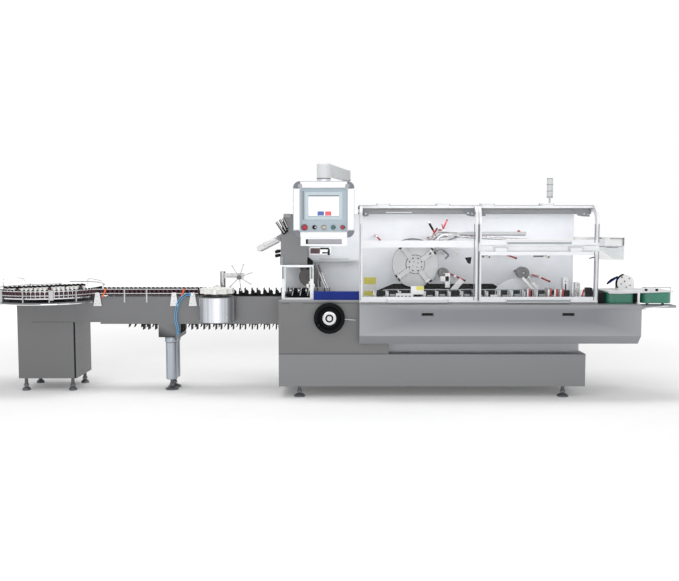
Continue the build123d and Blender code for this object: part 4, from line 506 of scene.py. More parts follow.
# Operator panel: screen with plain coloured blocks in place of what a display shows
glass_left, glass_front = glass[X][0], glass[Y][0]
glass_low, glass_high = glass[Z]
bezel = Piece("screen_bezel", "grey_fascia", "operator_panel")
bezel.box((glass_left - 9, glass_left - 1), (glass_front + 1, glass[Y][1]), (glass_low - 2, glass_high + 6))
bezel.done(1)
window = [sum(glass[X]) / 2 - 138, sum(glass[X]) / 2 + 138]
window_z = [sum(glass[Z]) / 2 - 92, sum(glass[Z]) / 2 + 92]
window_left, window_low = window[0], window_z[0]
shadow_line = Piece("screen_shadow_line", "corner_grey", "operator_panel")
shadow_line.box((glass_left - 22, glass_left - 8), (glass_front + 2, glass[Y][1] - 1),
                (glass_low, glass_high + 6))
for zs in ((window_z[1] - 8, window_z[1] + 5), (window_low - 3, window_low + 1)):
    shadow_line.box((window_left - 1, window[1] + 1), (glass_front - 0.5, glass_front + 4), zs)
shadow_line.done(0)
Piece("screen_display", "display_white", "operator_panel").box(
    window, (glass_front + 1, glass_front + 3.6), window_z).done(0)
for name, slot, xs in (("screen_soft_keys", "display_blue", (80, 140)),
                       ("screen_red_key", "display_red", (150, 208))):
    key = Piece(name, slot, "operator_panel")
    key.box([window_left + x for x in xs], (glass_front + 0.2, glass_front + 1.2),
            (window_low + 4, window_low + 42))
    key.done(0)
marks = Piece("screen_lines", "grey_fascia", "operator_panel")
for dx, dz, w in ((98, 150, 82), (20, 118, 52), (112, 112, 40), (88, 62, 96), (30, 96, 10), (30, 82, 10),
                  (214, 146, 30)):
    x, z = window_left + dx, window_low + dz
    marks.box((x, x + w), (glass_front + 0.4, glass_front + 1.1), (z, z + 2.2))
marks.done(0)

# Operator panel: emergency stop, four buttons and the tray's slot
button_z, button_pitch = 1669.0, 86
button_y = fascia[Y][0]
button_xs = [1 + (k - 2) * button_pitch for k in range(5)]


def turned(name, slot, rows):
    """One piece of turned parts on the fascia: rows of x, profile and sides."""
    piece = Piece(name, slot, "operator_panel")
    for x, profile, sides in rows:
        piece.lathe((x, button_y, button_z), profile, "Y", sides)
    piece.done(0)


collar, key_cap = [(22, 0), (22, 4), (19, 9), (14, 9), (12, 3)], [(16, 14), (16, 22), (12, 25), (2, 26)]
dark_half, silver_half = [(10, 14), (10, 21), (8, 23), (2, 23)], [(8, 14), (8, 23), (6, 27), (2, 27)]
stop_ring = [(30, 0), (30, 4), (26, 6), (18, 6), (18, 2)]
stop_cap = [(12, 4), (12, 16), (24, 17), (25, 23), (22, 29), (12, 33), (2, 34)]
turned("button_collars", "corner_grey", [(x, collar, 28) for x in button_xs[1:]])
turned("mushroom_ring", "corner_grey", [(button_xs[0] - 6, stop_ring, 32)])
turned("mushroom_cap", "red_plastic", [(button_xs[0], stop_cap, 32)])
for x, key_slot in zip(button_xs[1:], ("black_plastic", "amber_plastic", "green_plastic", "red_plastic")):
    turned(f"button_cap_{int(x) + 300}", key_slot, [(x, key_cap, 24)])
turned("button_dark_halves", "black_plastic",
       [(x, dark_half, 20) for x in (button_xs[3] + 12, button_xs[4] + 13)])
turned("button_silver_halves", "grey_aluminium",
       [(x, silver_half, 20) for x in (button_xs[1] + 8, button_xs[2] + 12)])
tray_front = limits("panel_tray")[Y][0]
tray_slot_zs = (1517, 1560)
Piece("tray_slot_liner", "slot_grey", "operator_panel").box(
    (-150, 164), (tray_front + 8, tray_front + 10), tray_slot_zs).done(0.5)
Piece("tray_slot_end", "black_plastic", "operator_panel").box(
    (-163, -146), (tray_front + 2, tray_front + 40), tray_slot_zs).done(0.5)

# Swing arm: painted shadow bands and end plates on its two pivots
post_x, post_y, panel_x, panel_y = 217, 350, 1, -765
pivot_shadow_bands = Piece("arm_shadow_band", "corner_grey", "swing_arm")
pivot_shadow_bands.lathe((panel_x, panel_y, 2108.5), [(60, 0), (65.5, 0), (65.5, 9), (62, 9)], "Z", 40)
pivot_shadow_bands.rod((post_x, post_y, 2152), (post_x, post_y, 2160), 46, sides=32)
pivot_shadow_bands.done(0)
arm_cap = Piece("arm_end_plate", "arm_paint", "swing_arm")
arm_cap.rod((post_x, post_y, 2254), (post_x, post_y, 2262), 40, tip=34, sides=32)
arm_cap.rod((panel_x, panel_y, 2255), (panel_x, panel_y, 2259), 44, tip=40, sides=32)
arm_cap.done(0.5)

# Black box behind the arch in the back plate: painted shade for the dark inside of the opening
ARCH_XS = (532, 1878)
Piece("arch_shade_box", "black_plastic").box(ARCH_XS, (366, 379), (939, 1075)).box(
    ARCH_XS, (282, 377), (938, 940)).done(0)

# Bottles on the turntable and the conveyor: one ring, three slanting rows and two files in the lane
disc = limits("turntable_disc")
disc_x, disc_y, disc_top = sum(disc[X]) / 2, sum(disc[Y]) / 2, disc[Z][1]
star_x, star_y = sum(limits("star_wheel")[X]) / 2, -96
lane_y, bottle_base, bottle_pitch, row_limit = 55.0, 975.2, 45, 482
ring_spots = arc(disc_x, disc_y, 522, [183 + k * 4.9 for k in range(38)])
row_spots = []
for row in range(3):
    for k in range(18):
        x = disc_x - 456 + 38.6 * k + 27 * row + rng.uniform(-2, 2)
        y = disc_y - 20 + 27 * k - 38.6 * row + rng.uniform(-2, 2)
        if math.hypot(x - disc_x, y - disc_y) < row_limit:
            row_spots.append((x, y))
lane_spots = [(x + shift, lane_y + across) for shift, across in ((0, -22), (22, 22))
              for x in range(int(disc_x + 575), int(star_x - 80), bottle_pitch)]
bottle_shape = [(15, 0), (18, 2), (18, 48), (15, 56), (9, 60), (9, 64)]
cap_shape = [(11.5, 62), (12, 64), (12, 78), (11, 80), (2, 80.5)]
white_bottles = Piece("white_bottles", "white_plastic")
maroon_bottles = Piece("maroon_bottles", "maroon_plastic")
bottle_caps = Piece("bottle_caps", "black_plastic")
for spots, mixed in ((ring_spots, False), (row_spots, True), (lane_spots, False)):
    for k, (x, y) in enumerate(spots):
        bottles = white_bottles if mixed and k % 7 != 3 else maroon_bottles
        bottles.lathe((x, y, bottle_base), bottle_shape, sides=16)
        bottle_caps.lathe((x, y, bottle_base), cap_shape, sides=14)
white_bottles.done(0)
maroon_bottles.done(0)
bottle_caps.done(0)

# Turntable: rims, wire hoops and sweep guide
Piece("turntable_rim", "bright_chrome", "turntable").lathe(
    (disc_x, disc_y, disc_top), [(540, -11), (546, -9), (546.5, -2), (541, 0.6), (534, 0.3)],
    sides=96).done(0)
Piece("pan_edge", "bright_chrome").lathe(
    (disc_x, disc_y, limits("turntable_pan")[Z][0]),
    [(556, -2), (566, -2), (567, 3), (566, 9), (560, 10)], sides=96).done(0)
hoop_left, hoop_right, hoop_y, hoop_top = disc_x - 548, disc_x - 400, 300, 1116
hoops = Piece("turntable_wire_hoops", "bright_chrome")
hoops.tube([(hoop_left, disc_y + 190, 1047), (hoop_left, disc_y + 190, hoop_top),
            (hoop_right, disc_y + 330, hoop_top), (hoop_right, disc_y + 330, 1040)], 4, sides=8, steps=5)
hoops.tube([(-2500, hoop_y, 1050), (-2498, hoop_y, 1122), (-2426, hoop_y, 1120), (-2346, hoop_y, 1094),
            (-2343, hoop_y, 1045)], 4, sides=8, steps=5)
hoops.done(0)
Piece("turntable_sweep_guide", "bright_chrome").tube(
    [(disc_x + 60, disc_y + 470, 1075), (disc_x + 230, disc_y + 430, 1078),
     (disc_x + 420, disc_y + 300, 1078), (disc_x + 545, disc_y + 90, 1070)], 6, sides=8).done(0)

# Straps, bolts and clips along the guide rails, and the fittings of the air hoses
RAIL_HEIGHTS = (999.5, 1042.5)
straps = Piece("orange_straps", "orange_strap")
for x in (-2230.0, -1438.0):
    straps.plate([(x - 26, 962), (x - 10, 962), (x + 26, 1050), (x + 10, 1050)], 3, "XZ", -68)
straps.done(0.6)
bolts = Piece("bracket_bolts", "bright_steel")
for x in (-2302.0, -1528.0, -1338.0):
    bolts.pins([(x + dx, 873 + dz) for dx, dz in ((0, 100), (-18, 24), (18, 24), (0, 52))],
               -60, -65, 6, sides=6)
for x, y in arc(0, 0, 1, range(196, 346, 18)):
    for z in RAIL_HEIGHTS:
        bolts.rod((disc_x + 560 * x, disc_y + 560 * y, z), (disc_x + 572 * x, disc_y + 572 * y, z),
                  5, sides=6)
bolts.done(0.4)
clips = Piece("strip_clips", "grey_aluminium")
for (x, y), foot in zip(arc(disc_x, disc_y, 568, (232, 290)), (905, 955)):
    clips.box((x - 22, x + 22), (y - 6, y + 10), (foot, 1052))
clips.done(1)
hose_y, hose_radius = -70, 4.5
hose_ends = Piece("hose_fittings", "hose_blue")
for name in ("front_air_hose", "rear_air_hose"):
    hose = limits(name)
    end_x, end_z = hose[X][1], hose[Z][1] - hose_radius
    hose_ends.rod((end_x + 0.2, hose_y, end_z), (end_x - 14, hose_y, end_z), 7.5, sides=16)
for x in (-1499, -1483):
    hose_ends.rod((x, hose_y, 584), (x, hose_y, 600), 7.5, sides=16)
hose_ends.done(0.5)

# Conveyor: flights that return below it, and the carriers on top of it
flight_top = 684
flights = Piece("return_flights", "black_plastic")
for k, x in enumerate(range(-2030, 200, 62)):
    if -1700 < x < -1460 or x > -470:
        continue
    lean = 10 + 6 * math.sin(k * 2.1)
    flights.plate([(x, flight_top), (x + 20, flight_top), (x + 14 - lean, 652), (x + 4 - lean, 634),
                   (x - lean, 634), (x + 2 - lean * 0.6, 654)], 70, "XZ", 120)
flights.done(0.8)
bucket_pitch = 62.5
bucket_blocks = Piece("bucket_blocks", "black_plastic")
for k in range(9):
    x = -957 + k * bucket_pitch
    bucket_blocks.box((x + 6, x + 42), (60, 112), (972, 1016))
    bucket_blocks.rod((x + 24, 60, 1020), (x + 24, 112, 1020), 9, sides=12)
bucket_blocks.done(2)
buckets = Piece("bucket_inserts", "bright_steel")
for k in range(13):
    x = -1016 + k * bucket_pitch
    buckets.box((x + 8, x + 10), (112, 236), (975, 1000))
buckets.done(0)

# Support leg's turned columns, and the drum with the scalloped star wheel
column = Piece("leg_column_shine", "column_sheen_steel")
for y in LEG_YS:
    column.lathe((leg_x, y, 0), [(56.5, 112), (58, 114), (58, 488), (56.5, 490)], sides=48)
    column.lathe((leg_x, y, 0), [(64, 494), (66, 498), (66, 544), (63, 551)], sides=48)
column.done(0)
drum = limits("star_drum")
star_base = limits("star_wheel")[Z][1]
conveyor_side = -41.5
front_arc = arc(star_x, star_y, 181.5, [197.5 + k * 145 / 32 for k in range(33)])
inner_arc = [(star_x + (x - star_x) * 0.985, star_y + (y - star_y) * 0.985) for x, y in reversed(front_arc)]
Piece("star_drum_skin", "drum_sheen_steel").plate(
    [p for p in front_arc + inner_arc if p[1] < conveyor_side], drum[Z][1] - drum[Z][0] - 60, "XY",
    drum[Z][0] - 1).done(0)
teeth, points_per_tooth = 12, 12
outline = []
for k in range(teeth * points_per_tooth):
    t = 2 * math.pi * k / (teeth * points_per_tooth)
    r = 168 - 22 * max(0, math.cos(t * teeth)) ** 2
    outline.append((star_x + r * math.cos(t), star_y + r * math.sin(t)))
star_top = Piece("star_wheel_top", "white_plastic", "star_wheel")
star_top.plate(outline, 7, "XY", star_base + 0.2)
star_top.rod((star_x, star_y, star_base), (star_x, star_y, star_base + 26), 44, tip=40, sides=32)
star_top.done(1)
star_bolts = Piece("star_wheel_bolts", "bright_steel", "star_wheel")
for x, y in arc(star_x, star_y, 30, ring_of(6, 15)):
    star_bolts.rod((x, y, star_base + 25), (x, y, star_base + 31), 5, sides=6)
star_bolts.rod((star_x, star_y, star_base + 24), (star_x, star_y, star_base + 38), 12, sides=6)
star_bolts.done(0.5)

# Hub cap of the paddle wheel
Piece("paddle_tips", "grey_plastic", "paddle_wheel").pins(
    [(-880.0, 1158.0)], 30, 22, 24, tip=20, sides=24).done(1)

# Infeed guard: green-grey strips and white beads on its posts
guard_strips = Piece("infeed_guard_strips", "green_grey")
for xs in ((-415, -387), (-146, -118)):
    guard_strips.box(xs, (-342.5, -338), (1166, 1284))
guard_strips.done(0.6)
guard_beads = Piece("infeed_guard_beads", "white_frame")
for xs in ((-398, -391), (-144, -137)):
    guard_beads.box(xs, (-343, -338), (966, 1284))
guard_beads.done(0.8)

# Leaflet magazine: rods with their sleeves, tray arm and chute cap
rod_y = -282
rods = Piece("leaflet_rods", "grey_aluminium")
sleeves = Piece("leaflet_rod_sleeves", "black_plastic")
for (top_x, top_z), (foot_x, foot_z) in (((-472, 1719), (-395, 1603)), ((-438, 1742), (-380, 1627)),
                                         ((-405, 1753), (-365, 1651))):
    sleeves.rod((top_x, rod_y, top_z), (foot_x, rod_y, foot_z), 12, sides=16)
    rods.rod((top_x + 2, rod_y - 12, top_z), (foot_x + 2, rod_y - 12, foot_z + 12), 5.5, sides=12)
sleeves.rod((-402, rod_y, 1606), (-362, rod_y, 1640), 12, sides=16)
rods.done(0.6)
for z in (1430, 1390):
    sleeves.rod((-440, -200, z + 4), (-492, -200, z - 8), 15, sides=16)
sleeves.done(0.6)
tray_arm = Piece("leaflet_tray_arm", "grey_aluminium")
tray_arm.plate([(-674, 1474), (-488, 1566), (-440, 1548), (-452, 1530), (-620, 1440), (-664, 1428)],
               84, "XZ", -210)
tray_arm.plate([(-612, 1510), (-492, 1568), (-470, 1546), (-600, 1480)], 10, "XZ", -222)
tray_arm.done(2)
tray_edge = Piece("leaflet_tray_edge", "dark_sheet")
tray_edge.plate([(-640, 1436), (-452, 1532), (-444, 1520), (-620, 1428)], 6, "XZ", -217)
tray_edge.plate([(-494, 1568), (-440, 1566), (-432, 1524), (-450, 1536)], 8, "XZ", -226)
tray_edge.done(1)
Piece("leaflet_chute_cap", "dark_sheet").box(
    (-470, -420), (-204, -136), (1544, 1592), ("Y", -28), (-445, -170, 1568)).done(2)
Piece("leaflet_top_block", "brushed_sheet").box((-401, -330), (-276, -262), (1760, 1800)).box(
    (-440, -405), (-276, -262), (1300, 1380)).done(1.5)

# Leaflet feeder: hopper, drum face, curved guides and tubes
bend = range(9, 73, 9)
bend_points = [(-150 - 112 * math.sin(t), 1100 + 200 * (1 - math.cos(t))) for t in map(math.radians, bend)]
hopper_side = [(-256, 1288), (-150, 1288), (-150, 1092)] + bend_points
Piece("leaflet_hopper", "hopper_brown").plate(hopper_side, 120, "XZ", 60).done(2)
Piece("leaflet_drum_face", "hopper_brown").lathe(
    (-164, -60, 1169), [(98.5, -60), (99.5, 0), (97, 3), (30, 3), (28, 6), (4, 6)], "Y", 64).done(0)
Piece("leaflet_hopper_face", "hopper_brown").plate(
    [(x + 3, z + 2) for x, z in hopper_side], 4, "XZ", 54).done(1)
curved = Piece("leaflet_curved_guides", "grey_plastic")
for dx in (0, 34):
    line = ((-110, 20 + dx, 1290), (-88, 18 + dx, 1240), (-82, 16 + dx, 1180), (-92, 16 + dx, 1110),
            (-84, 14 + dx, 1060))
    curved.tube([(x + dx, y, z) for x, y, z in line], 15 - dx * 0.15)
curved.done(0)
silver_tubes = Piece("leaflet_silver_tubes", "bright_steel")
for dx in (0, 24):
    line = ((-58, -20, 1210), (-30, -24, 1130), (6, -28, 1050), (14, -28, 985))
    silver_tubes.tube([(x + dx, y, z) for x, y, z in line], 8, sides=12)
silver_tubes.done(0)
tee_ys = (-300, -270)
Piece("leaflet_white_tee", "white_plastic").box((-180, -96), tee_ys, (1076, 1112)).box(
    (-156, -120), tee_ys, (1040, 1140)).done(3)
Piece("leaflet_clamp_plate", "maroon_plastic").box((-148, -52), (-66, -58), (1402, 1458)).done(2)
clamp_black = Piece("leaflet_clamp_black", "black_plastic")
clamp_black.box((-50, 40), (-70, -58), (1446, 1462))
clamp_black.box((-30, 44), (-70, -58), (1404, 1418))
clamp_black.box((26, 48), (-74, -58), (1388, 1450))
clamp_black.plate([(-164, 1370), (-120, 1330), (-128, 1262), (-176, 1240), (-205, 1300), (-190, 1350)],
                  30, "XZ", -120)
clamp_black.done(1.5)
Piece("leaflet_shelf_trim", "arm_paint").box((-174, 337), (163, 171), (1312, 1330)).rod(
    (-60, 165, 1342), (240, 165, 1342), 6, sides=12).done(1)
bed = Piece("infeed_black_bed", "black_plastic")
bed.box((-392, -112), (-40, 60), (968, 1004))
for x in (-340, -250, -180):
    bed.rod((x, -60, 1030), (x + 60, -60, 1030), 26)
bed.done(2)
bed_bright = Piece("infeed_bed_fittings", "bright_steel")
for x in (-352, -272, -196, -130):
    bed_bright.rod((x, -62, 1030), (x + 14, -62, 1030), 30)
    bed_bright.rod((x + 20, -80, 980), (x + 34, -80, 1060), 6, sides=10)
bed_bright.done(0.6)

# Suction rotor: rim, seam and bolts of the hub, and the heads, tips and rods of its four arms
rotor_x, rotor_z, rotor_front, hub_front = 906.0, 1296.0, -95.0, -109
Piece("rotor_rim", "grey_plastic", "suction_rotor").lathe(
    (rotor_x, -70, rotor_z), [(226, 0), (233, 2), (233, 20), (229, 23)], "Y", 96).done(0)
rotor_seam = Piece("rotor_hub_seam", "black_plastic", "suction_rotor")
rotor_seam.lathe((rotor_x, rotor_front, rotor_z), [(93, 0), (93, 0.8), (97, 0.8), (97, 0)], "Y", 72)
rotor_seam.pins(arc(rotor_x, rotor_z, 66, ring_of(8, 22.5)), hub_front, hub_front - 3.5, 7)
rotor_seam.pins(arc(rotor_x, rotor_z, 30, ring_of(4, 30)), hub_front, hub_front - 3.5, 5)
rotor_seam.done(0)
arm_heads = Piece("suction_arm_heads", "white_paint", "suction_rotor")
arm_tips = Piece("suction_arm_tips", "black_plastic", "suction_rotor")
arm_rods = Piece("suction_arm_rods", "bright_steel", "suction_rotor")
hub_point = Vector((rotor_x, -118, rotor_z))
for k, angle in enumerate(ring_of(4, 37)):
    t = math.radians(angle)
    along, across = Vector((math.cos(t), 0, math.sin(t))), Vector((-math.sin(t), 0, math.cos(t)))
    head = hub_point + along * 205 + Vector((0, -4, 0))
    for side in (-1, 1):
        foot = hub_point + along * 126 + across * side * 22
        arm_rods.rod(foot, foot + along * 104, 5, sides=10)
    if k == 0:
        arm_tips.rod(hub_point + along * 168, hub_point + along * 208, 13, sides=16)
    arm_heads.rod(head - across * 30, head + across * 30, 12, sides=12)
    for side in (-1, 1):
        cup = head + across * side * 22
        arm_tips.rod(cup + along * 10, cup + along * 26, 13, tip=16, sides=16)
arm_heads.done(1)
arm_tips.done(0.6)
arm_rods.done(0)
Piece("rotor_back_arc", "dark_sheet").plate(
    arc(rotor_x, 1492, 150, range(18, 163, 12), 60) + arc(rotor_x, 1486, 142, range(162, 17, -12), 56),
    6, "XZ", 240).done(0.6)

# Cam and hooks between the rotor and the magazine
Piece("rotor_side_cam", "white_paint").plate(
    arc(1210, 1330, 190, range(20, 131, 10)) + arc(1225, 1318, 150, range(130, 19, -10)),
    10, "XZ", 180).done(1.5)
hooks = Piece("rotor_side_hooks", "grey_aluminium")
for x, z, lift in ((1130, 1492, 0), (1180, 1424, 8), (1096, 1462, -6)):
    hooks.tube([(x - 44, 120, z - 8), (x, 112, z + 18), (x + 34, 104, z - 6 + lift), (x + 20, 100, z - 40)],
               9)
hooks.done(0)

# Clamp levers, as x, z and angle: hubs with nuts, and black ends
levers = ((518, 1580, -50), (1069, 1557, 60), (1184, 1637, 70), (1310, 1177, -25), (1821, 1394, -20),
          (2164, 1167, -24))
lever_hubs = Piece("lever_hubs", "bright_steel")
lever_ends = Piece("lever_ends", "black_plastic")
for x, z, angle in levers:
    lever_hubs.pins([(x, z)], -52, -78, 15, tip=12, sides=20)
    lever_hubs.pins([(x, z)], -78, -84, 7, sides=6)
    (inner_x, inner_z), (outer_x, outer_z) = arc(x, z, 106, [angle]) + arc(x, z, 116, [angle])
    lever_ends.rod((inner_x, -60, inner_z), (outer_x, -60, outer_z), 10, sides=12)
lever_hubs.done(0.6)
lever_ends.done(0.6)
lever_y = -62
group = Piece("lever_group_bracket", "bright_steel")
group.box((1076, 1118), (-40, 255), (1520, 1560))
group.box((1118, 1190), (-60, -44), (1508, 1552), ("Y", 20))
group.rod((1150, -64, 1530), (1150, -44, 1530), 30, sides=24)
group.rod((1096, -60, 1510), (1096, -30, 1510), 18)
group.done(1.2)
group_black = Piece("lever_group_black", "black_plastic")
group_black.rod((1046, lever_y, 1706), (1084, lever_y, 1640), 11, sides=12)
group_black.pins([(1150, 1530)], -70, -64, 12, sides=16)
group_black.pins([(1104, 1502)], -66, -60, 13, sides=16)
group_black.done(0.8)
group_red = Piece("lever_group_red", "red_plastic")
group_red.rod((1084, lever_y, 1640), (1112, lever_y, 1584), 9, sides=12)
group_red.rod((1172, -66, 1700), (1190, -66, 1628), 4.5, sides=12)
group_red.done(0.5)
group_white = Piece("lever_group_white", "grey_aluminium")
group_white.lathe((1200, -70, 1600), [(26, 0), (26, 8), (18, 12), (4, 12)], "Y", 28)
group_white.rod((1034, lever_y, 1722), (1046, lever_y, 1706), 11, sides=16)
group_white.done(0.6)

# Carton magazine: front bar with its shaded underside, strips, knob and curved rails
bar_y, shade_y = -176, -178
magazine_bar = Piece("magazine_front_bar", "grey_aluminium")
magazine_bar.box((1411, 1998), (bar_y, -168), (1602, 1624))
magazine_bar.plate([(1144, 1516), (1190, 1560), (1240, 1590), (1300, 1608), (1411, 1624), (1411, 1602),
                    (1310, 1584), (1256, 1566), (1212, 1538), (1170, 1500)], 8, "XZ", bar_y)
magazine_bar.done(1)
magazine_shade = Piece("magazine_bar_shade", "dark_sheet")
magazine_shade.box((1340, 1990), (shade_y, -168), (1584, 1597))
magazine_shade.plate([(1190, 1528), (1256, 1560), (1340, 1580), (1340, 1570), (1262, 1548), (1200, 1516)],
                     6, "XZ", shade_y)
magazine_shade.done(0.5)
rail_slope, rail_z = math.degrees(math.atan2(49, 821)), 1563.5
magazine = Piece("magazine_strips", "bright_steel")
red_line = Piece("magazine_red_lines", "red_plastic")
dark_gap = Piece("magazine_dark_gap", "black_plastic")
for y in (-158.0, 22.0):
    for dz, strip, thick in ((6, red_line, 1.6), (-12, dark_gap, 4), (-20, magazine, 5)):
        strip.box((1215, 2016), (y, y + 3), (rail_z + dz, rail_z + dz + thick),
                  ("Y", rail_slope), (1610, y, rail_z))
magazine.box((1600, 1606), (-155, 41), (1572, 1580))
magazine.done(0)
red_line.done(0)
dark_gap.done(0)
Piece("magazine_knob", "red_plastic").lathe(
    (1925, -160, 1600), [(6, 0), (6, 10), (14, 14), (17, 24), (13, 36), (4, 39)], "Z", 24).done(0)
curve_rails = Piece("magazine_curved_rails", "grey_aluminium")
for dr in (0, 26, 50):
    rail_y = -148 + dr
    bent = arc(1205, 1460, 150 + dr, range(178, 102, -15), 112 + dr)
    curve_rails.tube([(x, rail_y, z) for x, z in bent] + [(1330, rail_y, 1585 + dr * 0.5)], 6, sides=8)
curve_rails.done(0)

# Rollers over the lane, with their brackets and bolts, and the shroud round the right one
roller_caps = Piece("roller_caps", "grey_plastic")
roller_hubs = Piece("roller_hub_caps", "grey_aluminium")
for x, z, r in ((1187, 1210, 52), (1980, 1212, 60)):
    roller_caps.lathe((x, -155, z), [(r - 2, 0), (r - 1, 2.5), (r - 8, 5), (r * 0.4, 5), (r * 0.4, 2)],
                      "Y", 48)
    roller_hubs.pins([(x, z)], -157, -164, r * 0.16, tip=r * 0.12, sides=24)
roller_caps.done(0)
roller_hubs.done(0.8)
brackets = Piece("roller_brackets", "white_paint")
brackets.box((1150, 1236), (-178, -168), (1130, 1182))
brackets.box((1196, 1244), (-178, -168), (1068, 1214))
brackets.box((1290, 1346), (-160, -148), (1010, 1164), ("Y", 40))
brackets.box((2010, 2036), (-178, -166), (1020, 1190), ("Y", -42))
brackets.box((2090, 2118), (-178, -166), (1010, 1130), ("Y", -38))
brackets.done(2)
Piece("lane_round_shroud", "wall_lit_paint").plate(
    [(1600, 966), (1690, 1010), (1739, 1066), (1808, 1124), (1907, 1152), (2016, 1136), (2096, 1086),
     (2137, 1026), (2150, 966)], 8, "XZ", -60).done(2)
bracket_bits = Piece("roller_bracket_bits", "bright_steel")
bracket_bits.pins(((1172, 1150), (1214, 1196), (1222, 1090), (1306, 1110), (2052, 1130), (2120, 1088),
                   (2080, 1040)), -178, -186, 8, sides=6)
bracket_bits.rod((1200, -150, 1210), (1262, -150, 1130), 8, sides=12)
bracket_bits.rod((2020, -150, 1180), (2090, -150, 1100), 9, sides=12)
bracket_bits.done(0.5)

# Stops, knobs and light strip under the beam between the right-hand doors
KNOB_SPOTS = ((1628, 1374), (2216, 1374))
under = Piece("under_beam_stops", "grey_plastic")
under.rod((1180, -170, 1440), (1230, -170, 1390), 9, sides=12)
under.rod((1230, -170, 1390), (1196, -170, 1352), 9, sides=12)
under.plate([(1540, 1396), (1640, 1400), (1648, 1372), (1566, 1366)], 20, "XZ", -170)
under.box((2070, 2200), (-190, -170), (1372, 1406))
under.done(1)
under_white = Piece("under_beam_white_knobs", "white_paint")
under_white.pins(KNOB_SPOTS, -190, -206, 22, sides=24)
for x, z in KNOB_SPOTS:
    under_white.box((x - 50, x - 10), (-200, -190), (z - 6, z + 10), ("Y", 20))
under_white.done(1)
under_black = Piece("under_beam_black", "black_plastic")
under_black.pins(KNOB_SPOTS, -206, -209, 8, sides=16)
under_black.box((2625, 2680), (-180, -170), (1360, 1371), ("Y", -12))
under_black.plate([(1392, 1366), (1456, 1372), (1446, 1303), (1422, 1311)], 24, "XZ", -180)
under_black.done(1)
Piece("beam_light_strip", "grey_aluminium").box((1560, 2600), (-384, -372), (1428, 1440)).done(1)

# Carton lane: carriers with their rails, black blocks in the gaps between the carriers as painted shade, the
# plates in front of them and the red and white strips
lane_pitch, lane_end = 122, 2380
carriers = Piece("carton_lane_blocks", "grey_aluminium")
carrier_tops = Piece("carton_lane_block_tops", "handle_grey")
carrier_gap_shade = Piece("carton_lane_gap_shade", "black_plastic")
for k, x in enumerate(range(470, lane_end, lane_pitch)):
    carriers.box((x + 14, x + 34), (-318, -300), (988, 1042))
    if k % 3:
        carrier_tops.box((x + 46, x + 100), (-322, -306), (990, 1006 + 9 * (k % 2)))
    carrier_gap_shade.box((x + 40, x + 104), (-302, -286), (988, 1052))
    carriers.pins([(x + 24, 1034)], -318, -326, 7)
carriers.done(1)
carrier_tops.done(1.5)
carrier_gap_shade.done(0.8)
lane_rails = Piece("carton_lane_rails", "handle_grey")
lane_rails.box((430, 2330), (-334, -326), (956, 968))
lane_rails.box((640, 2330), (-300, -290), (1054, 1062))
lane_rails.tube([(520, -240, 1000), (560, -250, 1040), (640, -260, 1052), (720, -262, 1050)], 7)
lane_rails.done(0.8)
plate_front = -345
plate_ys, hole_ys = (plate_front, -338), (plate_front - 0.6, plate_front + 1)
plates = Piece("lane_white_plates", "white_paint")
plates.box((697, 866), plate_ys, (962, 1024))
plates.box((1620, 1690), plate_ys, (962, 1010))
plates.box((842, 969), (-341, -336), (1013, 1095))
plates.done(1.5)
holes = Piece("lane_plate_holes", "black_plastic")
holes.pins([(722 + k * 36, 992) for k in range(4)], *hole_ys, 9, sides=16)
holes.box((1646, 1664), hole_ys, (966, 984))
holes.done(0)
red_strips = Piece("lane_red_strips", "red_plastic")
white_strips = Piece("lane_white_strips", "white_plastic")
for x, lean in ((1996, 0), (2200, 6), (2262, 8), (2318, 10), (2512, 26)):
    red_strips.box((x, x + 16), (-344, -336), (956, 1066), ("Y", lean * 0.5))
    white_strips.box((x - 20, x - 4), (-342, -336), (956, 1062), ("Y", lean * 0.4))
red_strips.done(1)
white_strips.done(1)

# Carton lane: white posts, small steel parts behind them and the block at the end
post_front = -176
posts = Piece("lane_posts", "white_paint")
post_parts = Piece("lane_post_details", "black_plastic")
for x, top, bolt_heights in ((2370, 1166, (1130, 1096)), (2492, 1118, (1096,))):
    posts.box((x, x + 52), (post_front, -160), (960, top))
    post_parts.pins([(x + 26, z) for z in bolt_heights], post_front, post_front - 1.5, 6)
    post_parts.box((x + 20, x + 32), (post_front - 2, post_front + 0.5), (top - 130, top - 60))
posts.box((2060, 2180), (-196, -186), (1006, 1046))
posts.done(2)
post_parts.done(0)
clutter = Piece("lane_small_steel", "bright_steel")
for k in range(26):
    x = 2030 + k * 23 + rng.uniform(-6, 6)
    z = 960 + rng.uniform(0, 46)
    clutter.rod((x, -200, z), (x, -200 - rng.uniform(12, 40), z), rng.uniform(6, 12), sides=12)
for x in range(2420, 2613, 24):
    clutter.box((x, x + 12), (-240, -228), (962, 962 + rng.uniform(20, 60)))
clutter.done(0.6)
Piece("lane_end_block", "black_plastic").box((2582, 2640), (-260, -180), (964, 1072)).done(3)

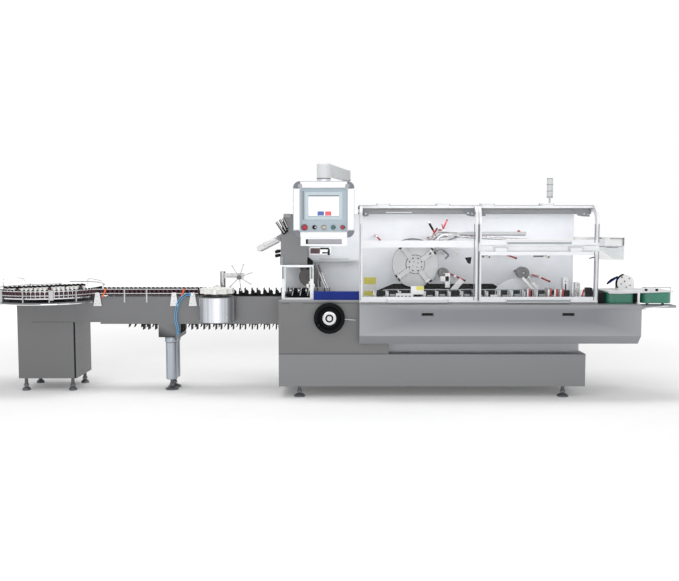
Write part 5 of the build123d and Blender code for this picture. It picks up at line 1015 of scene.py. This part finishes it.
# Guard: the roof's front band, lip and lamp strip, and the gussets in its corners
roof = limits("guard_roof")
roof_front, skin_z = roof[Y][0], 1871.0
roof_xs = (roof[X][0] + 24, roof[X][1] - 24)
Piece("roof_front_band", "dark_sheet").box(
    roof_xs, (roof_front + 4, roof_front + 10), (skin_z - 30, skin_z)).done(2)
Piece("roof_front_lip", "roof_sheet").box(
    roof_xs, (roof_front + 6, roof_front + 12), (skin_z - 72, skin_z - 30)).done(2)
Piece("roof_lamp_strip", "pale_aluminium").box(
    (600, 860), (roof_front, roof_front + 7), (skin_z - 62, skin_z - 52)).done(3)
gusset_y = roof_front - 3
gussets = Piece("guard_gussets", "corner_grey")
for outline in ([(384, 1866), (441, 1866), (430, 1778), (384, 1772)],
                [(1315, 1862), (1478, 1862), (1478, 1774), (1436, 1776), (1398, 1786), (1362, 1836)],
                [(1527, 1862), (1560, 1840), (1583, 1808), (1583, 1780), (1527, 1772)],
                [(2400, 1862), (2608, 1862), (2608, 1772), (2545, 1774), (2492, 1782), (2440, 1840)]):
    gussets.plate(outline, 3, "XZ", gusset_y)
gussets.done(1.5)
Piece("guard_gusset_bolts", "bright_steel").pins(
    ((1410, 1806), (1450, 1800), (2552, 1800), (2590, 1790), (404, 1800)),
    gusset_y, gusset_y - 3, 7).done(0.4)

# Doors: dark seals on the posts, grip strips and the bead on the upper right door
for body, seal_top in (("left_door", 1700), ("upper_door", 1700), ("lower_door", 1434)):
    (door_left, door_right), (door_front, _), (door_foot, _) = limits(f"{body}_frame")
    seal = Piece(f"{body}_seals", "corner_grey", body)
    for x, width, inset in ((door_left + 2, 3, 8), (door_right - 5, 3, 8), (door_right - 44, 8, 19)):
        seal.box((x, x + width), (door_front + inset, door_front + 24), (door_foot + 20, seal_top))
    seal.done(0.4)
handle_front = limits("left_door_frame")[Y][0]
for door, slot, xs, z in (("left", "grey_aluminium", (606, 1192), 950),
                          ("upper", "handle_grey", (1762, 2374), 1506),
                          ("lower", "handle_grey", (1762, 2374), 950)):
    grip = Piece(f"{door}_handle_grip", slot, f"{door}_door")
    grip.box(xs, (handle_front - 1.2, handle_front + 1), (z, z + 20))
    grip.done(1)
Piece("right_door_lower_bead", "white_paint", "upper_door").box(
    (1745, 2390), (-424, -420), (1544, 1556)).done(1)
hinge_covers = Piece("roof_hinge_covers", "white_frame")
for x in (577.0, 1162.5, 1599.5, 2185.0):
    hinge_covers.box((x - 66, x + 66), (-212, -150), (roof[Z][1] - 8, roof[Z][1] + 2))
hinge_covers.done(2)

# Finger pulls in the apron
pulls = Piece("apron_pulls", "black_plastic")
pull_rims = Piece("apron_pull_rims", "dark_sheet")
for x in (988.0, 2338.0):
    pulls.box((x - 50, x + 50), (apron_front + 8, apron_front + 12), (826, 846))
    for z in (850, 818):
        pull_rims.box((x - 60, x + 60), (apron_front - 1.5, apron_front + 1), (z, z + 3))
pulls.done(1)
pull_rims.done(0.6)

# Bare places where the machine carries signs
SIGN_XS = (401, 526)
bare = Piece("bare_places", "bare_yellow")
bare.box(SIGN_XS, (258.6, 259.6), (1072, 1144))
bare.box(SIGN_XS, (258.6, 259.6), (952, 1000))
bare.box((896, 966), (-342.2, -341), (1056, 1093))
bare.done(0)
Piece("bare_white_place", "white_plastic").box(SIGN_XS, (258.2, 259.6), (1000, 1072)).done(0)

# Outfeed: seams of the belts, dark bed, post, cover with knobs, guide rod and tray
Piece("outfeed_dark_bed", "black_plastic").box((2662, 3070), (-300, 10), (909, 925)).box(
    (2662, 2745), (-330, -40), (925, 1030)).done(2)
Piece("outfeed_black_bed", "black_plastic").box((2656, 3036), (-372, -366), (905, 928)).box(
    (3040, 3096), (-300, -230), (928, 1034)).done(1.5)
belt_seams = Piece("outfeed_belt_seams", "green_belt")
for xs in ((2811.0, 2974.0), (3162.0, 3338.0)):
    for z in (932, 1022):
        belt_seams.box(xs, (-357.4, -356), (z, z + 4))
belt_seams.done(0)
Piece("outfeed_white_post", "pale_aluminium").box((3046, 3068), (-380, -366), (884, 1036)).done(2)
Piece("outfeed_cover_front", "pale_paint").plate(
    [(2757, 1048), (3392, 1048), (3392, 1040), (2880, 1022), (2770, 1024), (2757, 1034)], 10, "XZ",
    limits("outfeed_covers")[Y][0] - 10).done(2)
knobs = Piece("outfeed_cover_knobs", "black_plastic")
for x in (3136.0, 3240.0):
    knobs.rod((x, -352, 1048), (x, -352, 1068), 12, tip=14)
knobs.done(1)
long_rod = Piece("outfeed_guide_rod", "bright_steel")
long_rod.rod((3100, -330, 1082), (3388, -330, 1080), 5, sides=12)
for x in (3136.0, 3380.0):
    long_rod.rod((x, -330, 1048), (x, -330, 1084), 4, sides=10)
long_rod.done(0)
Piece("outfeed_tray_strip", "pale_aluminium").plate(
    [(2650, 884), (3040, 884), (3040, 878), (2650, 880)], 60, "XZ", -440).plate(
    [(3040, 884), (3330, 912), (3330, 906), (3040, 876)], 60, "XZ", -440).done(1)

# Press at the outfeed: holes and rim of its disc, the bent arm and the blue bar
press_x, press_z = 3020.0, 1106.0
press = Piece("press_disc_holes", "black_plastic")
for dx, dz, r in ((-40, 62, 8), (-12, 20, 7), (34, 48, 6), (44, -20, 6), (6, -40, 6), (-46, -6, 6)):
    press.pins([(press_x + dx, press_z + dz)], -104, -102, r, sides=16)
press.tube([(x, -96, z) for x, z in arc(press_x, press_z, 92, range(210, 104, -15))], 9)
press.tube([(2830, -110, 1100), (2870, -110, 1140), (2935, -108, 1172)], 10)
press.done(0)
Piece("press_blue_bar", "blue_paint").rod((2846, -124, 1112), (2926, -122, 1166), 6, sides=12).done(0)

# Carton chute at the upper right
chute = limits("upper_chute")
chute_left, chute_right = chute[X]
chute_front, chute_top = chute[Y][0], chute[Z][1]
Piece("chute_side_skin", "pale_paint").box(
    (chute_left + 2, chute_left + 182), (chute_front - 2, chute_front + 1), (1482, 1556)).done(0.5)
# White panel in the chute's hollow: painted light where its inside would lie in shade
Piece("chute_lit_inner_panel", "white_paint").box(
    (chute_left + 184, chute_right - 8), (-192, -186), (chute_top - 88, chute_top - 6)).done(0.5)
chute_rim = Piece("chute_dark_rim", "corner_grey")
for xs, zs in (((2820, chute_right), (1552, 1559)), ((2722, 2840), (1472, 1478)),
               ((chute_right - 14, chute_right), (1486, 1565)),
               ((chute_right - 170, chute_right - 60), (1466, 1474))):
    chute_rim.box(xs, (-206, -200), zs)
chute_rim.done(1.5)
Piece("chute_clear_skirt", "milky_pane").plate(
    [(2703, 1462), (2961, 1476), (2961, 1350), (2850, 1362)], 3, "XZ", -204).done(0.5)
Piece("chute_knob", "black_plastic").lathe(
    (2735, -170, 1536), [(7, 0), (7, 6), (15, 9), (15, 22), (8, 29), (2, 30)], "Z", 24).done(0)

# Rings between the lamps of the beacon, and the bare plate on the left cabinet
beacon = limits("beacon")
lamp_rings = Piece("beacon_rings", "corner_grey")
for z in (2150.0, 2090.0, 2026.0, 1968.0):
    lamp_rings.lathe((sum(beacon[X]) / 2, sum(beacon[Y]) / 2, z),
                     [(30.4, 0), (31.5, 1), (31.5, 4), (30.4, 5)])
lamp_rings.done(0)
Piece("cabinet_bare_plate", "cabinet_shaded_sheet").box(
    (-342, -211), (front - 3.4, front - 2.4), (866, 946)).done(0.5)

# Rear: seams, vents and latches of four sheet panels
rear = limits("rear_housing")
rear_face, rear_top = rear[Y][1], rear[Z][1]
rear_ys = (rear_face - 1, rear_face + 0.8)
panels = 4
panel_width = (rear[X][1] - rear[X][0]) / panels
rear_seams = Piece("rear_panel_seams", "black_plastic")
for k in range(1, panels):
    x = rear[X][0] + panel_width * k
    rear_seams.box((x - 1.5, x + 1.5), rear_ys, (rear[Z][0] + 20, rear_top - 20))
rear_seams.done(0)
rear_latches = Piece("rear_panel_latches", "grey_aluminium")
rear_vents = Piece("rear_vent_slots", "black_plastic")
for k in range(panels):
    x = rear[X][0] + panel_width * (k + 0.5)
    for row in range(7):
        z = rear_top - 130 - row * 22
        rear_vents.box((x - 110, x + 110), rear_ys, (z, z + 7))
    latch_spots = [(x - 240, rear_top - 60), (x + 240, rear_top - 60)]
    rear_latches.pins(latch_spots, rear_face - 1, rear_face + 3, 16, sides=24)
rear_latches.done(0.6)
rear_vents.done(0)

# Floor, paler the farther it lies from the machine
FLOOR_NEAR_FAR, FLOOR_GLOW = (3.5, 9.0), (0.10, 0.62)
floor_tree = mats["floor_pale"].node_tree
floor_place = new_node(floor_tree, "TexCoord")
floor_far = new_node(floor_tree, "VectorMath")
floor_far.operation = "LENGTH"
floor_tree.links.new(floor_place.outputs["Object"], floor_far.inputs[0])
floor_glow = spread(floor_tree, floor_far.outputs["Value"], FLOOR_NEAR_FAR, *FLOOR_GLOW)
floor_tree.links.new(floor_glow, floor_tree.nodes["Principled BSDF"].inputs["Emission Strength"])
floor_mesh = bpy.data.meshes.new("floor")
floor_mesh.from_pydata([(-40, -30, 0), (40, -30, 0), (40, 40, 0), (-40, 40, 0)], [], [(0, 1, 2, 3)])
floor_mesh.materials.append(mats["floor_pale"])
floor = bpy.data.objects.new("floor", floor_mesh)
scene.collection.objects.link(floor)

# White surroundings, brighter in the picture than as light
SKY_LIGHT, SKY_PICTURE = 0.6, 1.0
world = bpy.data.worlds.new("studio")
world.use_nodes = True
sky = world.node_tree
sky.nodes["Background"].inputs["Color"].default_value = (1, 1, 1, 1)
ray = new_node(sky, "LightPath")
sky_level = spread(sky, ray.outputs["Is Camera Ray"], (0, 1), SKY_LIGHT, SKY_PICTURE)
sky.links.new(sky_level, sky.nodes["Background"].inputs["Strength"])
scene.world = world

# Soft lamps, as name, place, aim, size and power
for name, place, aim, size, power in (
    ("key", (-3.5, -6.0, 5.5), (0, 0, 1.0), (4, 3), 95),
    ("fill", (4.5, -6.5, 3.2), (0.5, 0, 0.9), (4, 3), 50),
    ("front", (0.3, -9.5, 2.4), (0.4, 0, 1.2), (6, 3), 120),
    ("top", (0.2, 0.1, 6.0), (0.2, 0, 0.8), (7, 1.6), 170),
    ("inside", (1.50, -0.06, 1.74), (1.50, 0.32, 1.2), (2.2, 0.06), 3.2),
    ("bay", (-0.05, -0.22, 1.58), (0.05, 0.30, 1.2), (0.5, 0.2), 0.7),
):
    light = bpy.data.lights.new(name, "AREA")
    light.shape = "RECTANGLE"
    light.size, light.size_y = size
    light.energy = power
    holder = bpy.data.objects.new(name, light)
    holder.location = place
    holder.visible_camera = False
    holder.rotation_euler = (Vector(aim) - Vector(place)).to_track_quat("-Z", "Y").to_euler()
    scene.collection.objects.link(holder)
